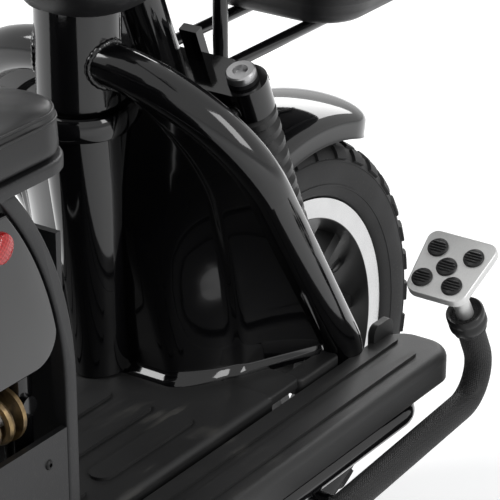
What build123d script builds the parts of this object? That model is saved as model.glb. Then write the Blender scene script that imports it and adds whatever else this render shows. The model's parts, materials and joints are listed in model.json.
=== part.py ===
from build123d import *
import math
import os

os.makedirs("parts", exist_ok=True)

# Driving dimensions in millimetres and degrees. +X forward, +Y left, +Z up from the ground.
# Stations named back(...) are measured rearward from the front axle.
WHEELBASE = 1050
REAR_OVERHANG = 265
REAR_TRACK = 590
FIT = 0.3

# Wheels
TYRE_RADIUS = 225
TYRE_WIDTH = 84
SHOULDER_DROP = 9
SHOULDER_INSET = 10
RIM_RADIUS = 164
RIM_WIDTH = 66
RIM_FACE = 17
RIM_WALL = 4
HUB_RADIUS = 32
FRONT_HUB_HALF = 55
REAR_HUB_HALF = 44
DRUM_RADIUS = 62
DRUM_DEPTH = 30
SPOKES = 10
SPOKE_WIDTH = 14
SPOKE_DEPTH = 22
FRONT_AXLE_RADIUS = 6
REAR_SHAFT_RADIUS = 11

# Steering, heights measured along the raked axis from the front axle
RAKE = 22.5
AXLE_LEAD = 24
FORK_SPACING = 192
SLIDER_RADIUS = 20
STANCHION_RADIUS = 14
SLIDER_TOP = 205
YOKE_LOW = 372
YOKE_HIGH = 404
YOKE_WIDTH = 44
GAITER_RIBS = 10
GAITER_RADIUS = 22
GAITER_DIP = 5
STEM_RADIUS = 15
HEAD_RADIUS = 24
HEAD_HIGH = 640
BAR_HIGH = 800
BAR_RADIUS = 11
BAR_SPAN = 640
GRIP_RADIUS = 17
GRIP_LENGTH = 124

# Frame and floor
DECK_Z = 307
MAT_STEP = 10
RAIL_DROP = 49
TUBE_RADIUS = 20
TUBE_OFFSET = 154
ARCH_TOP_Z = 628
ARCH_TOP_BACK = 292
ARCH_FOOT_BACK = 63
ARCH_BEND = 136
FOOT_BEND = 45
COLUMN_RADIUS = 38
COLUMN_BACK = 287
COLUMN_LOW = 575
COLUMN_HIGH = 790
CROSS_RADIUS = 13
POST_RADIUS = 12
POST_FRONT = 568
POST_REAR = 930
SEAT_FRAME_Z = 640
STEP_OFFSET = 165
FOOT_OUTER = 236
FOOT_FRONT = 24
FOOT_REAR = 600
SIDE_RAIL_RADIUS = 10

# Seat and rear body
SEAT_FRONT = 540
SEAT_LENGTH = 400
SEAT_WIDTH = 384
PAN_THICKNESS = 16
CUSHION_THICKNESS = 70
BODY_FRONT = 537
BODY_HALF = 190
SHELL = 6
COVER_LOW = 499
LOWER_TOP = 438
DAMPER_Z = 458
DAMPER_OFFSET = 158
ARM_OFFSET = 178
RACK_RISE = 30
GUARD_RISE = 34

LENGTH = TYRE_RADIUS + WHEELBASE + REAR_OVERHANG
FRONT_X = LENGTH / 2 - TYRE_RADIUS
REAR_X = FRONT_X - WHEELBASE
TAIL_X = -LENGTH / 2
RAIL_Z = DECK_Z - RAIL_DROP
FLOOR_Z = RAIL_Z + TUBE_RADIUS + FIT
MAT_Z = DECK_Z + MAT_STEP
SIDES = (1, -1)

SINE = math.sin(math.radians(RAKE))
COSINE = math.cos(math.radians(RAKE))
AXLE = Vector(FRONT_X, 0, TYRE_RADIUS)
STEER_UP = Vector(-SINE, 0, COSINE)
STEER_FORE = Vector(COSINE, 0, SINE)
STEER = Plane(origin=AXLE - STEER_FORE * AXLE_LEAD, x_dir=STEER_FORE, z_dir=STEER_UP)
UP = (Align.CENTER, Align.CENTER, Align.MIN)
ROLL = Axis((0, 0, 0), (0, -1, 0))

NODES = {}


def back(x):
    """Station measured rearward from the front axle."""
    return FRONT_X - x


def rod(start, end, radius):
    """Round bar between two points."""
    span = Vector(*end) - Vector(*start)
    return Plane(origin=start, z_dir=span) * Cylinder(radius, span.length, align=UP)


def bent(points, radii, radius):
    """Round tube along straight runs joined by bends."""
    path = FilletPolyline(*points, radius=radii)
    return sweep(Plane(origin=path @ 0, z_dir=path % 0) * Circle(radius), path=path)


def block(x0, x1, y0, y1, z0, z1):
    """Box between two corners."""
    return Pos((x0 + x1) / 2, (y0 + y1) / 2, (z0 + z1) / 2) * Box(abs(x1 - x0), abs(y1 - y0), abs(z1 - z0))


def turned(points, axis=Axis.Y, arc=360):
    """Body turned about an axis from radius, offset pairs."""
    return revolve(make_face(Polyline(*points, close=True)), axis=axis, revolution_arc=arc)


def plate(points, y0, y1):
    """Flat plate with a side outline of station, height pairs."""
    face = Plane.XZ * make_face(Polyline(*[(back(x), z) for x, z in points], close=True))
    return Pos(0, y0, 0) * extrude(face, y0 - y1)


def both(shape):
    """Piece and its mirror image across the middle plane."""
    return [shape, mirror(shape, about=Plane.XZ)]


def fuse(shapes):
    """One solid from touching shapes."""
    return shapes[0].fuse(*shapes[1:]).clean()


def keep(name, shape):
    """Store one node as a solid or a group of solids."""
    shapes = shape if isinstance(shape, (list, tuple)) else [shape]
    solids = [solid for one in shapes for solid in one.solids()]
    NODES[name] = solids[0] if len(solids) == 1 else Compound(children=solids)


def tyre_body():
    """Tyre section with round shoulders, turned about its axle."""
    bead = RIM_WIDTH / 2 - RIM_WALL - FIT
    seat = RIM_RADIUS - RIM_FACE + FIT
    lip = RIM_RADIUS + FIT
    half = TYRE_WIDTH / 2
    edge = half - SHOULDER_INSET
    belly = (lip + TYRE_RADIUS) / 2 - RIM_WALL
    shoulder = TYRE_RADIUS - SHOULDER_DROP
    edges = [
        Line((seat, -bead), (lip, -bead)),
        ThreePointArc((lip, -bead), (belly, -half), (shoulder, -edge)),
        ThreePointArc((shoulder, -edge), (TYRE_RADIUS, 0), (shoulder, edge)),
        ThreePointArc((shoulder, edge), (belly, half), (lip, bead)),
        Line((lip, bead), (seat, bead)),
        Line((seat, bead), (seat, -bead)),
    ]
    return revolve(make_face(edges), axis=Axis.Y)


def casting_body(bore, hub_half, drum_side):
    """Cast wheel: flanged rim with a flat face, spokes, brake drum and hub."""
    base = RIM_RADIUS - RIM_FACE
    low = base - RIM_WALL
    half = RIM_WIDTH / 2
    inside = half - RIM_WALL
    inner = HUB_RADIUS - RIM_WALL
    drum = drum_side * DRUM_DEPTH
    reach = low + RIM_WALL / 2
    spoke = Pos((reach + inner) / 2, 0, 0) * Box(reach - inner, SPOKE_DEPTH, SPOKE_WIDTH)
    pieces = [turned([(low, -half), (RIM_RADIUS, -half), (RIM_RADIUS, -inside), (base, -inside),
                      (base, inside), (RIM_RADIUS, inside), (RIM_RADIUS, half), (low, half)])]
    pieces.append(Rot(90, 0, 0) * Cylinder(HUB_RADIUS, 2 * hub_half))
    pieces.append(turned([(inner, 0), (DRUM_RADIUS, 0), (DRUM_RADIUS, drum), (inner, drum)]))
    pieces += [Rot(0, 360 * k / SPOKES, 0) * spoke for k in range(SPOKES)]
    return fuse(pieces) - Rot(90, 0, 0) * Cylinder(bore, 3 * hub_half)


def wheel(name, place, bore, hub_half, drum_side):
    """One wheel: tyre and casting at its axle."""
    keep(name + "_tyre", place * tyre_body())
    keep(name + "_casting", place * casting_body(bore, hub_half, drum_side))


# Main frame: neck, arch, floor rails and seat frame
def arch_path(start):
    """Corner points of one side tube, from the neck to the rear posts."""
    return [(back(ARCH_TOP_BACK), start, ARCH_TOP_Z),
            (back(ARCH_TOP_BACK - 6), TUBE_OFFSET, ARCH_TOP_Z - 13),
            (back(ARCH_FOOT_BACK), TUBE_OFFSET, RAIL_Z),
            (back(POST_REAR), TUBE_OFFSET, RAIL_Z)]


arches = both(bent(arch_path(COLUMN_RADIUS / 2), (ARCH_BEND, FOOT_BEND), TUBE_RADIUS))
pivot_z = RAIL_Z - 11
pivot = rod((back(255), -TUBE_OFFSET, pivot_z), (back(255), -(FOOT_OUTER + 34), pivot_z), 8)
arm_z = RAIL_Z - 26
hanger = rod((back(700), TUBE_OFFSET, RAIL_Z), (back(700), TUBE_OFFSET, arm_z - 8), 11)
arm_pin = rod((back(700), TUBE_OFFSET - 10, arm_z), (back(700), ARM_OFFSET - 10 - FIT, arm_z), 8)
head = STEER * Pos(0, 0, YOKE_HIGH + FIT) * Cylinder(HEAD_RADIUS, HEAD_HIGH - YOKE_HIGH, align=UP)
column = rod((back(COLUMN_BACK), 0, COLUMN_LOW), (back(COLUMN_BACK), 0, COLUMN_HIGH), COLUMN_RADIUS)
column = fillet(column.edges().group_by(Axis.Z)[0], 14)
gusset = plate([(192, 622), (270, 600), (270, 760), (236, 735)], -5, 5)
bore = STEER * Pos(0, 0, YOKE_HIGH - 60) * Cylinder(STEM_RADIUS + 3, HEAD_HIGH, align=UP)
keep("neck", fuse([head, column, gusset]) - bore)
carriers = [both(hanger), both(arm_pin)]
left_tube = fuse([arches[0], carriers[0][0], carriers[1][0]])
right_tube = fuse([arches[1], carriers[0][1], carriers[1][1], pivot])
keep("arch_tubes", [one - NODES["neck"] for one in (left_tube, right_tube)])
rest_back = SEAT_FRONT + SEAT_LENGTH + 14
FRAME_CROSSES = (
    # station, height, radius
    (300, RAIL_Z, CROSS_RADIUS),
    (430, RAIL_Z, CROSS_RADIUS),
    (POST_FRONT + 1, RAIL_Z, CROSS_RADIUS),
    (660, RAIL_Z, CROSS_RADIUS),
    (840, RAIL_Z, CROSS_RADIUS),
    (POST_REAR - 15, RAIL_Z, CROSS_RADIUS),
    (rest_back, SEAT_FRAME_Z, 10),
    (1170, SEAT_FRAME_Z, 10),
)
seat_tube = bent(
    [(back(POST_FRONT), TUBE_OFFSET, RAIL_Z), (back(POST_FRONT), TUBE_OFFSET, SEAT_FRAME_Z),
     (TAIL_X + 130, TUBE_OFFSET, SEAT_FRAME_Z)], (40,), POST_RADIUS)
rear_x = back(POST_REAR - 14)
rear_post = rod((rear_x, TUBE_OFFSET, RAIL_Z), (rear_x, TUBE_OFFSET, SEAT_FRAME_Z), POST_RADIUS)
lug_x = back(POST_FRONT + 4)
damper_lug = rod((lug_x, TUBE_OFFSET, DAMPER_Z), (lug_x, DAMPER_OFFSET + 12, DAMPER_Z), 9)
stay_z = 2 * TYRE_RADIUS + GUARD_RISE + FIT + 6
stay = bent(
    [(REAR_X, TUBE_OFFSET, SEAT_FRAME_Z), (REAR_X, TUBE_OFFSET, stay_z), (REAR_X, 240, stay_z)], (10,), 6)
tab_end = BODY_HALF - SHELL - FIT
COVER_TABS = (
    # station, height
    (POST_FRONT, 380),
    (700, SEAT_FRAME_Z),
    (1140, SEAT_FRAME_Z),
)
seat_parts = [seat_tube, damper_lug, stay]
for station, height in COVER_TABS:
    seat_parts.append(rod((back(station), TUBE_OFFSET, height), (back(station), tab_end, height), 6))
tab_tip = back(BODY_FRONT + SHELL + FIT)
for height in (380, 540):
    seat_parts.append(rod((back(POST_FRONT), TUBE_OFFSET, height), (tab_tip, TUBE_OFFSET, height), 6))
seat_rail = fuse(seat_parts) - NODES["arch_tubes"]
rear_post = fuse([rear_post, rod((rear_x, TUBE_OFFSET, 380), (rear_x, tab_end, 380), 6)]) - NODES["arch_tubes"] - seat_rail
keep("seat_frame", both(seat_rail) + both(rear_post))
crosses = [rod((back(x), -TUBE_OFFSET, z), (back(x), TUBE_OFFSET, z), r) for x, z, r in FRAME_CROSSES]
keep("frame_crosses", [one - NODES["arch_tubes"] - NODES["seat_frame"] for one in crosses])

# Leg shield: curved wings with a raised border between the arch tubes, and a spine below the neck
SHIELD = (
    # height, middle station, side station
    (MAT_Z + 1, 258, 172),
    (380, 262, 172),
    (450, 268, 197),
    (530, 279, 243),
    (ARCH_TOP_Z - 12, 291, 285),
)
SHIELD_HALF = 150
SHIELD_WALL = 5
BORDER_WIDTH = 17
BORDER_RISE = 4


def shield_skin():
    """Loft of arc bands across the shield's height."""
    bands = []
    for height, middle, side in SHIELD:
        outer = ThreePointArc((back(side), -SHIELD_HALF, height), (back(middle), 0, height), (back(side), SHIELD_HALF, height))
        near = back(side) + SHIELD_WALL
        inner = ThreePointArc((near, SHIELD_HALF, height), (back(middle) + SHIELD_WALL, 0, height), (near, -SHIELD_HALF, height))
        bands.append(make_face([outer, Line(outer @ 1, inner @ 0), inner, Line(inner @ 1, outer @ 0)]))
    return loft(bands)


def arch_window(inset):
    """Space between the arch tubes as a long prism along X."""
    half = TUBE_OFFSET - TUBE_RADIUS - FIT - inset
    top = ARCH_TOP_Z - TUBE_RADIUS - 16 - inset
    corner = 108 - inset / 2
    line = FilletPolyline((-half, 200), (-half, top), (half, top), (half, 200), radius=(corner, corner, 20, 20), close=True)
    return Pos(back(520), 0, 0) * extrude(Plane.YZ * make_face(line), 500)


skin = shield_skin()
window = arch_window(0)
wings = skin & window
border = (Pos(-BORDER_RISE, 0, 0) * skin) & (window - arch_window(BORDER_WIDTH))
SPINE = (
    # height, middle station, half depth, half width
    (MAT_Z + 1, 257, 38, 25),
    (450, 271, 38, 30),
    (COLUMN_LOW - 2, COLUMN_BACK, COLUMN_RADIUS, COLUMN_RADIUS),
)
spine = loft([Pos(back(middle), 0, height) * Ellipse(depth, width) for height, middle, depth, width in SPINE])
spine &= block(back(400), back(256), -100, 100, 0, 1000)
shield = fuse([wings, border, spine]) - rod((back(COLUMN_BACK), 0, COLUMN_LOW - 1), (back(COLUMN_BACK), 0, 900), COLUMN_RADIUS + FIT)
keep("leg_shield", shield - NODES["arch_tubes"] - NODES["neck"])

# Floor mat and footboards with long ribs
RIB_HIGH = 3


def rib(x0, x1, y, width, z):
    """Low rib along X with round ends."""
    slot = SlotOverall(abs(x1 - x0), width)
    return extrude(Plane.XY.offset(z - 1) * Pos((x0 + x1) / 2, y) * slot, RIB_HIGH + 1)


mat = block(back(BODY_FRONT - 3), back(228), -STEP_OFFSET + 2, STEP_OFFSET - 2, FLOOR_Z, MAT_Z)
mat = fillet(mat.edges().filter_by(Axis.X).group_by(Axis.Z)[-1], 6)
mat_ribs = [rib(back(rear), back(front), side * y, 22, MAT_Z)
            for rear, front in ((438, 304), (524, 456)) for y in (34, 79, 124) for side in SIDES]
keep("floor_mat", fuse([mat] + mat_ribs))

board = block(back(FOOT_REAR), back(FOOT_FRONT), STEP_OFFSET, FOOT_OUTER, FLOOR_Z, DECK_Z)
board = fillet(board.edges().filter_by(Axis.Z).group_by(Axis.X)[-1], 28)
board = fillet(board.faces().sort_by(Axis.Z)[-1].edges(), 9)
board_ribs = [rib(back(FOOT_REAR - 12), back(front), y, 17, DECK_Z) for front, y in ((47, 179), (62, 208))]
hook = block(back(74), back(40), STEP_OFFSET + 2, STEP_OFFSET + 9, DECK_Z - 10, DECK_Z + 19)
hook = fillet(hook.edges().filter_by(Axis.Y).group_by(Axis.Z)[-1], 9)
tube_gap = bent(arch_path(TUBE_OFFSET), (8, FOOT_BEND), TUBE_RADIUS + FIT)
post_gap = rod((back(POST_FRONT), TUBE_OFFSET, 200), (back(POST_FRONT), TUBE_OFFSET, 500), POST_RADIUS + 2)
board = fuse([board, hook] + board_ribs) - tube_gap - post_gap
keep("footboards", both(board))

side_z = FLOOR_Z - FIT - SIDE_RAIL_RADIUS
side_y = FOOT_OUTER - 6
rail = bent(
    [(back(FOOT_REAR), side_y, side_z), (back(FOOT_FRONT + 28), side_y, side_z), (back(106), TUBE_OFFSET + 2, side_z)],
    (34,), SIDE_RAIL_RADIUS)
keep("side_rails", [one - NODES["arch_tubes"] for one in both(rail)])

# Brake pedal at the right front corner
PEDAL_Y = -(FOOT_OUTER + 21)
SLEEVE_RADIUS = 13
PAD_WIDTH = 66
PAD_LENGTH = 70
PAD_THICKNESS = 8
sleeve_top = (back(42), PEDAL_Y, DECK_Z + 34)
sleeve = bent(
    [(back(264), PEDAL_Y, pivot_z), (back(2), PEDAL_Y, pivot_z + 15), sleeve_top], (34,), SLEEVE_RADIUS)
collar = rod((back(40), PEDAL_Y, DECK_Z + 30), (back(50), PEDAL_Y, DECK_Z + 48), 16)
keep("pedal_sleeve", fuse([sleeve, collar]) - NODES["arch_tubes"])
pad_plane = Plane(origin=(back(79), PEDAL_Y, DECK_Z + 101), x_dir=(0, -1, 0), z_dir=(-0.525, 0, 0.851))
pad = pad_plane * extrude(RectangleRounded(PAD_WIDTH, PAD_LENGTH, 11), PAD_THICKNESS)
pad_post = rod((back(48), PEDAL_Y, DECK_Z + 44), (back(81), PEDAL_Y, DECK_Z + 105), 7)
keep("pedal_pad", fuse([pad, pad_post]) - NODES["pedal_sleeve"])

# Seat and backrest
seat_mid = back(SEAT_FRONT + SEAT_LENGTH / 2)
pan_z = SEAT_FRAME_Z + POST_RADIUS + FIT
pan = extrude(RectangleRounded(SEAT_LENGTH, SEAT_WIDTH, 60), PAN_THICKNESS)
keep("seat_pan", Pos(seat_mid, 0, pan_z) * pan)
cushion = extrude(RectangleRounded(SEAT_LENGTH - 6, SEAT_WIDTH - 6, 62), CUSHION_THICKNESS)
cushion = fillet(cushion.faces().sort_by(Axis.Z)[-1].edges(), 30)
keep("seat_cushion", Pos(seat_mid, 0, pan_z + PAN_THICKNESS + FIT) * cushion)
rest_x = back(rest_back)
REST_Y = 110
rest_tube = bent([(rest_x, REST_Y, SEAT_FRAME_Z), (rest_x, REST_Y, 780), (rest_x - 50, REST_Y, 1020)], (60,), 11)
rest_bars = [rod((rest_x, -REST_Y, z), (rest_x, REST_Y, z), 8) for z in (SEAT_FRAME_Z + 24, 756)]
keep("backrest_frame", fuse(both(rest_tube) + rest_bars) - NODES["frame_crosses"])
rest_pad = extrude(RectangleRounded(340, 230, 50), 55)
rest_pad = fillet(rest_pad.faces().sort_by(Axis.Z)[-1].edges(), 20)
rest_plane = Plane(origin=(rest_x - 13, 0, 900), x_dir=(0, 1, 0), z_dir=(0.98, 0, 0.2))
keep("backrest_pad", rest_plane * rest_pad)

# Rear body: front panel, edge bands, side covers, lower covers, tail panel
panel_high = 596
panel = block(back(BODY_FRONT + SHELL), back(BODY_FRONT), -BODY_HALF + 12 + FIT, BODY_HALF - 12 - FIT, MAT_Z + RIB_HIGH + 1, panel_high)
keep("seat_front_panel", panel)
band_path = FilletPolyline((back(BODY_FRONT + 7), MAT_Z + RIB_HIGH + 1), (back(BODY_FRONT + 7), 556),
                           (back(BODY_FRONT + 45), 622), (back(BODY_FRONT + 110), 640), radius=(60, 50))
band = sweep(Plane.XY.offset(MAT_Z + RIB_HIGH + 1) * Pos(back(BODY_FRONT + 7), 0) * Rectangle(14, 12),
             path=Plane.XZ * band_path)
keep("side_bands", both(Pos(0, BODY_HALF - 6, 0) * band))
cover_out = BODY_HALF - FIT
cover_in = BODY_HALF - SHELL
cover_tail = FRONT_X - TAIL_X - 140
cover_line = [(BODY_FRONT + 15, COVER_LOW), (BODY_FRONT + 15, 548), (BODY_FRONT + 36, 586), (BODY_FRONT + 54, 609),
              (BODY_FRONT + 113, 626), (BODY_FRONT + 113, 639), (cover_tail, 639), (cover_tail, COVER_LOW + 40), (cover_tail - 30, COVER_LOW)]
keep("side_covers", both(plate(cover_line, cover_in, cover_out)))
lower_line = [(BODY_FRONT + 15, DECK_Z + RIB_HIGH + 1), (BODY_FRONT + 15, LOWER_TOP), (POST_REAR + 10, LOWER_TOP),
              (POST_REAR - 60, DECK_Z + RIB_HIGH + 1)]
keep("lower_covers", both(plate(lower_line, cover_in, cover_out)))
marker = Pos(back(627), BODY_HALF, 612) * Rot(-90, 0, 0) * Cylinder(14, 8, align=UP)
keep("side_markers", both(marker))
battery = block(back(POST_REAR - 40), back(600), -126, 126, RAIL_Z + CROSS_RADIUS + FIT, LOWER_TOP - 8)
keep("battery_pack", battery)
tail_front = TAIL_X + 130 - FIT
tail_panel = block(tail_front - SHELL, tail_front, -BODY_HALF + 10, BODY_HALF - 10, COVER_LOW, SEAT_FRAME_Z + 14)
keep("rear_panel", tail_panel)
lamp = block(tail_front - SHELL - 20, tail_front - SHELL - FIT, 100, 170, 560, 605)
keep("tail_lamps", both(fillet(lamp.edges().filter_by(Axis.X), 10)))

# Rear rack
RACK_HALF = 150
rack_z = SEAT_FRAME_Z + RACK_RISE
rack = bent(
    [(TAIL_X + 320, RACK_HALF, rack_z), (TAIL_X + 10, RACK_HALF, rack_z), (TAIL_X + 10, -RACK_HALF, rack_z),
     (TAIL_X + 320, -RACK_HALF, rack_z)], (45, 45), 10)
slats = [rod((TAIL_X + 10, y, rack_z), (TAIL_X + 310, y, rack_z), 6) for y in (-75, 0, 75)]
crosses = [rod((TAIL_X + x, -RACK_HALF, rack_z), (TAIL_X + x, RACK_HALF, rack_z), 8) for x in (170, 310)]
leg_low = SEAT_FRAME_Z + POST_RADIUS + FIT
legs = [rod((TAIL_X + x, side * (RACK_HALF - 1), leg_low), (TAIL_X + x, side * (RACK_HALF - 1), rack_z), 7)
        for x in (170, 310) for side in SIDES]
keep("rear_rack", fuse([rack] + slats + crosses + legs))

# Rear axle, trailing arms and dampers
axle_end = REAR_TRACK / 2
AXLE_STACK = (
    # middle, radius, width
    (0, 28, 2 * (axle_end - REAR_HUB_HALF) - 12),
    (0, 84, 120),
    (-105, 66, 100),
    (0, REAR_SHAFT_RADIUS, 2 * axle_end + 100),
)
axle_parts = [Pos(0, middle, 0) * Rot(90, 0, 0) * Cylinder(radius, width) for middle, radius, width in AXLE_STACK]
keep("rear_axle", Pos(REAR_X, 0, TYRE_RADIUS) * fuse(axle_parts))
arm = rod((back(690), ARM_OFFSET, arm_z), (REAR_X + 8, ARM_OFFSET, TYRE_RADIUS + 14), 10)
lever = block(back(800), back(784), ARM_OFFSET - 3, ARM_OFFSET + 3, RAIL_Z - 28, DAMPER_Z + 14)
lever_pin = rod((back(792), ARM_OFFSET, DAMPER_Z), (back(792), DAMPER_OFFSET - 11, DAMPER_Z), 7)
arms = both(fuse([arm, lever, lever_pin]))
keep("trailing_arms", [one - NODES["rear_axle"] - NODES["arch_tubes"] for one in arms])
damper_front = POST_FRONT + 13 + FIT
damper_rear = 785 - FIT
damper = rod((back(damper_front), DAMPER_OFFSET, DAMPER_Z), (back(damper_rear), DAMPER_OFFSET, DAMPER_Z), 9)
keep("dampers", both(damper))
COIL_TURNS = 8
COIL_PITCH = 18
coil_line = [(9 + FIT, 0)]
for k in range(COIL_TURNS):
    base = COIL_PITCH * k
    coil_line += [(12, base + 2), (22, base + 6), (22, base + 12), (12, base + 16)]
coil_line.append((9 + FIT, COIL_PITCH * COIL_TURNS))
coil = Pos(back(damper_front + 8), DAMPER_OFFSET, DAMPER_Z) * Rot(0, 0, 90) * turned(coil_line)
keep("springs", both(coil))

# Rear fenders
GUARD_WALL = 4
crown = TYRE_RADIUS + GUARD_RISE
skirt = TYRE_RADIUS - 10
outside = axle_end + TYRE_WIDTH / 2 + 16
fender_line = [(crown - GUARD_WALL, BODY_HALF + FIT), (crown - GUARD_WALL, outside - 8), (skirt, outside - GUARD_WALL),
               (skirt, outside), (crown, outside - 4), (crown, BODY_HALF + FIT)]
fender = turned(fender_line, ROLL, 135)
keep("rear_fenders", both(Pos(REAR_X, 0, TYRE_RADIUS) * Rot(0, -25, 0) * fender))

# Fork, stem and front axle in the raked steering frame
leg_y = FORK_SPACING / 2
bridge = extrude(Rot(0, 0, 90) * SlotOverall(FORK_SPACING + YOKE_WIDTH, YOKE_WIDTH), YOKE_HIGH - YOKE_LOW)
stem = Pos(0, 0, YOKE_HIGH - 1) * Cylinder(STEM_RADIUS, BAR_HIGH - YOKE_HIGH + 12, align=UP)
stop = block(YOKE_WIDTH / 2 - 10, YOKE_WIDTH / 2 - 1, -46, -27, YOKE_HIGH - 2, YOKE_HIGH + 32)
yoke = fuse([Pos(0, 0, YOKE_LOW) * bridge, stem, stop])
for side in SIDES:
    yoke -= Pos(0, side * leg_y, 0) * Cylinder(STANCHION_RADIUS + FIT, 3 * YOKE_HIGH)
keep("fork_yoke", STEER * yoke)
LUG_HALF = 21
slider = Pos(0, 0, -20) * Cylinder(SLIDER_RADIUS, SLIDER_TOP + 20, align=UP)
stanchion = Cylinder(STANCHION_RADIUS, YOKE_HIGH + 4, align=UP)
axle_lug = Pos(AXLE_LEAD / 2, 0, 0) * Box(AXLE_LEAD + 34, 2 * LUG_HALF, 34)
leg = fuse([slider, stanchion, axle_lug]) - Pos(AXLE_LEAD, 0, 0) * Rot(90, 0, 0) * Cylinder(FRONT_AXLE_RADIUS + FIT, 100)
keep("fork_legs", [STEER * Pos(0, side * leg_y, 0) * leg for side in SIDES])
gaiter_low = SLIDER_TOP + 1
gaiter_high = YOKE_LOW - FIT
pitch = (gaiter_high - gaiter_low) / GAITER_RIBS
gaiter_line = [(STANCHION_RADIUS + FIT, gaiter_low)]
for k in range(GAITER_RIBS):
    base = gaiter_low + pitch * k
    gaiter_line += [(GAITER_RADIUS - GAITER_DIP, base), (GAITER_RADIUS, base + pitch * 0.3), (GAITER_RADIUS, base + pitch * 0.7)]
gaiter_line += [(GAITER_RADIUS - GAITER_DIP, gaiter_high), (STANCHION_RADIUS + FIT, gaiter_high)]
gaiter = Rot(90, 0, 0) * turned(gaiter_line)
keep("fork_gaiters", [STEER * Pos(0, side * leg_y, 0) * gaiter for side in SIDES])
spindle = Rot(90, 0, 0) * Cylinder(FRONT_AXLE_RADIUS, FORK_SPACING + 2 * LUG_HALF + 24)
nuts = [Pos(0, side * (leg_y + LUG_HALF + 4 + FIT), 0) * Rot(90, 0, 0) * Cylinder(10, 8) for side in SIDES]
keep("front_axle", STEER * Pos(AXLE_LEAD, 0, 0) * fuse([spindle] + nuts))

# Front fender with a round nose
NOSE_ANGLE = 55
NOSE_TURN = 17
GUARD_ARC = 86
guard_half = TYRE_WIDTH / 2 + 18
guard_low = TYRE_RADIUS + 5
guard_side = guard_low + 14
guard_high = TYRE_RADIUS + 37
guard_wall = 3
guard_edges = [
    Line((guard_low, -guard_half), (guard_side, -guard_half)),
    ThreePointArc((guard_side, -guard_half), (guard_high, 0), (guard_side, guard_half)),
    Line((guard_side, guard_half), (guard_low, guard_half)),
    Line((guard_low, guard_half), (guard_low, guard_half - guard_wall)),
    Line((guard_low, guard_half - guard_wall), (guard_side - 1, guard_half - guard_wall)),
    ThreePointArc((guard_side - 1, guard_half - guard_wall), (guard_high - guard_wall, 0), (guard_side - 1, guard_wall - guard_half)),
    Line((guard_side - 1, guard_wall - guard_half), (guard_low, guard_wall - guard_half)),
    Line((guard_low, guard_wall - guard_half), (guard_low, -guard_half)),
]
guard = Rot(0, -NOSE_ANGLE, 0) * revolve(make_face(guard_edges), axis=ROLL, revolution_arc=GUARD_ARC)
nose_cut = block(150, 350, -90, 90, -120, 0) - Pos(200, 0, 0) * Rot(0, 90, 0) * Cylinder(guard_half + 1, 400)
guard -= Rot(0, -NOSE_ANGLE - NOSE_TURN, 0) * nose_cut
keep("front_fender", Pos(FRONT_X, 0, TYRE_RADIUS) * guard)

strip = block(-9, 9, guard_half + FIT, guard_half + FIT + 4, SLIDER_TOP - 29, TYRE_RADIUS + 17)
foot = block(-9, 9, guard_half + 2, leg_y - SLIDER_RADIUS + 6, SLIDER_TOP - 29, SLIDER_TOP - 9)
brackets = [STEER * one for one in both(fuse([strip, foot]))]
keep("fender_brackets", [one - NODES["fork_legs"] for one in brackets])

# Bars, grips, levers, console, headlamp and mirrors
bar_end = Vector(-150, BAR_SPAN / 2, BAR_HIGH + 24)
bar_bend = Vector(-24, 130, BAR_HIGH + 70)
bar = bent([(-2, 0, BAR_HIGH), (-2, 70, BAR_HIGH), bar_bend, bar_end], (40, 50), BAR_RADIUS)
clamp = Pos(0, 0, BAR_HIGH) * Box(44, 56, 36)
keep("handlebar", STEER * (fuse(both(bar) + [clamp]) - Cylinder(STEM_RADIUS + FIT, 4 * BAR_HIGH)))
bar_run = (bar_end - bar_bend).normalized()
grip_hole = Cylinder(BAR_RADIUS + FIT, GRIP_LENGTH - 6 + FIT, align=UP)
grip = Plane(origin=bar_end - bar_run * (GRIP_LENGTH - 6), z_dir=bar_run) * (Cylinder(GRIP_RADIUS, GRIP_LENGTH, align=UP) - grip_hole)
keep("grips", [STEER * one for one in both(grip)])
lever_root = bar_end - bar_run * (GRIP_LENGTH + 10)
perch = Cylinder(GRIP_RADIUS + 1, 14, align=UP) - Cylinder(BAR_RADIUS + FIT, 14, align=UP)
blade = bent([lever_root + Vector(14, 8, 2), lever_root + Vector(46, 16, -4), bar_end + Vector(62, -4, -8)], (14,), 5)
keep("brake_levers", [STEER * one for one in both(fuse([Plane(origin=lever_root, z_dir=bar_run) * perch, blade]))])
console = Pos(-6, 0, BAR_HIGH + 19) * extrude(RectangleRounded(120, 150, 30), 44)
console = fillet(console.faces().sort_by(Axis.Z)[-1].edges(), 12)
keep("console", STEER * console - NODES["handlebar"])
LAMP_RADIUS = 62
LAMP_DEPTH = 78
LAMP_Z = 862
shell = Rot(-90, 0, 0) * Cylinder(LAMP_RADIUS, LAMP_DEPTH, align=UP)
shell = fillet(shell.edges().group_by(Axis.Y)[0], 44)
lamp_place = Pos(back(250), 0, LAMP_Z) * Rot(0, 0, -90)
lamp_arm = rod((back(294), 0, LAMP_Z), (back(238), 0, LAMP_Z), 12)
keep("headlamp", fuse([lamp_place * shell, lamp_arm]) - NODES["fork_yoke"])
lens = Rot(-90, 0, 0) * Cylinder(LAMP_RADIUS - 7, 6, align=UP)
keep("headlamp_lens", lamp_place * Pos(0, LAMP_DEPTH + FIT, 0) * lens)
mirror_stem = bent([(-70, 190, BAR_HIGH + 62), (-60, 190, BAR_HIGH + 160), (-60, 262, BAR_HIGH + 215)], (30,), 5)
mirror_head = Plane(origin=(-62, 300, BAR_HIGH + 235), z_dir=(-1, 0, 0)) * extrude(Ellipse(48, 68), 16)
keep("mirrors", [STEER * one - NODES["handlebar"] for one in both(fuse([mirror_stem, mirror_head]))])

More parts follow.
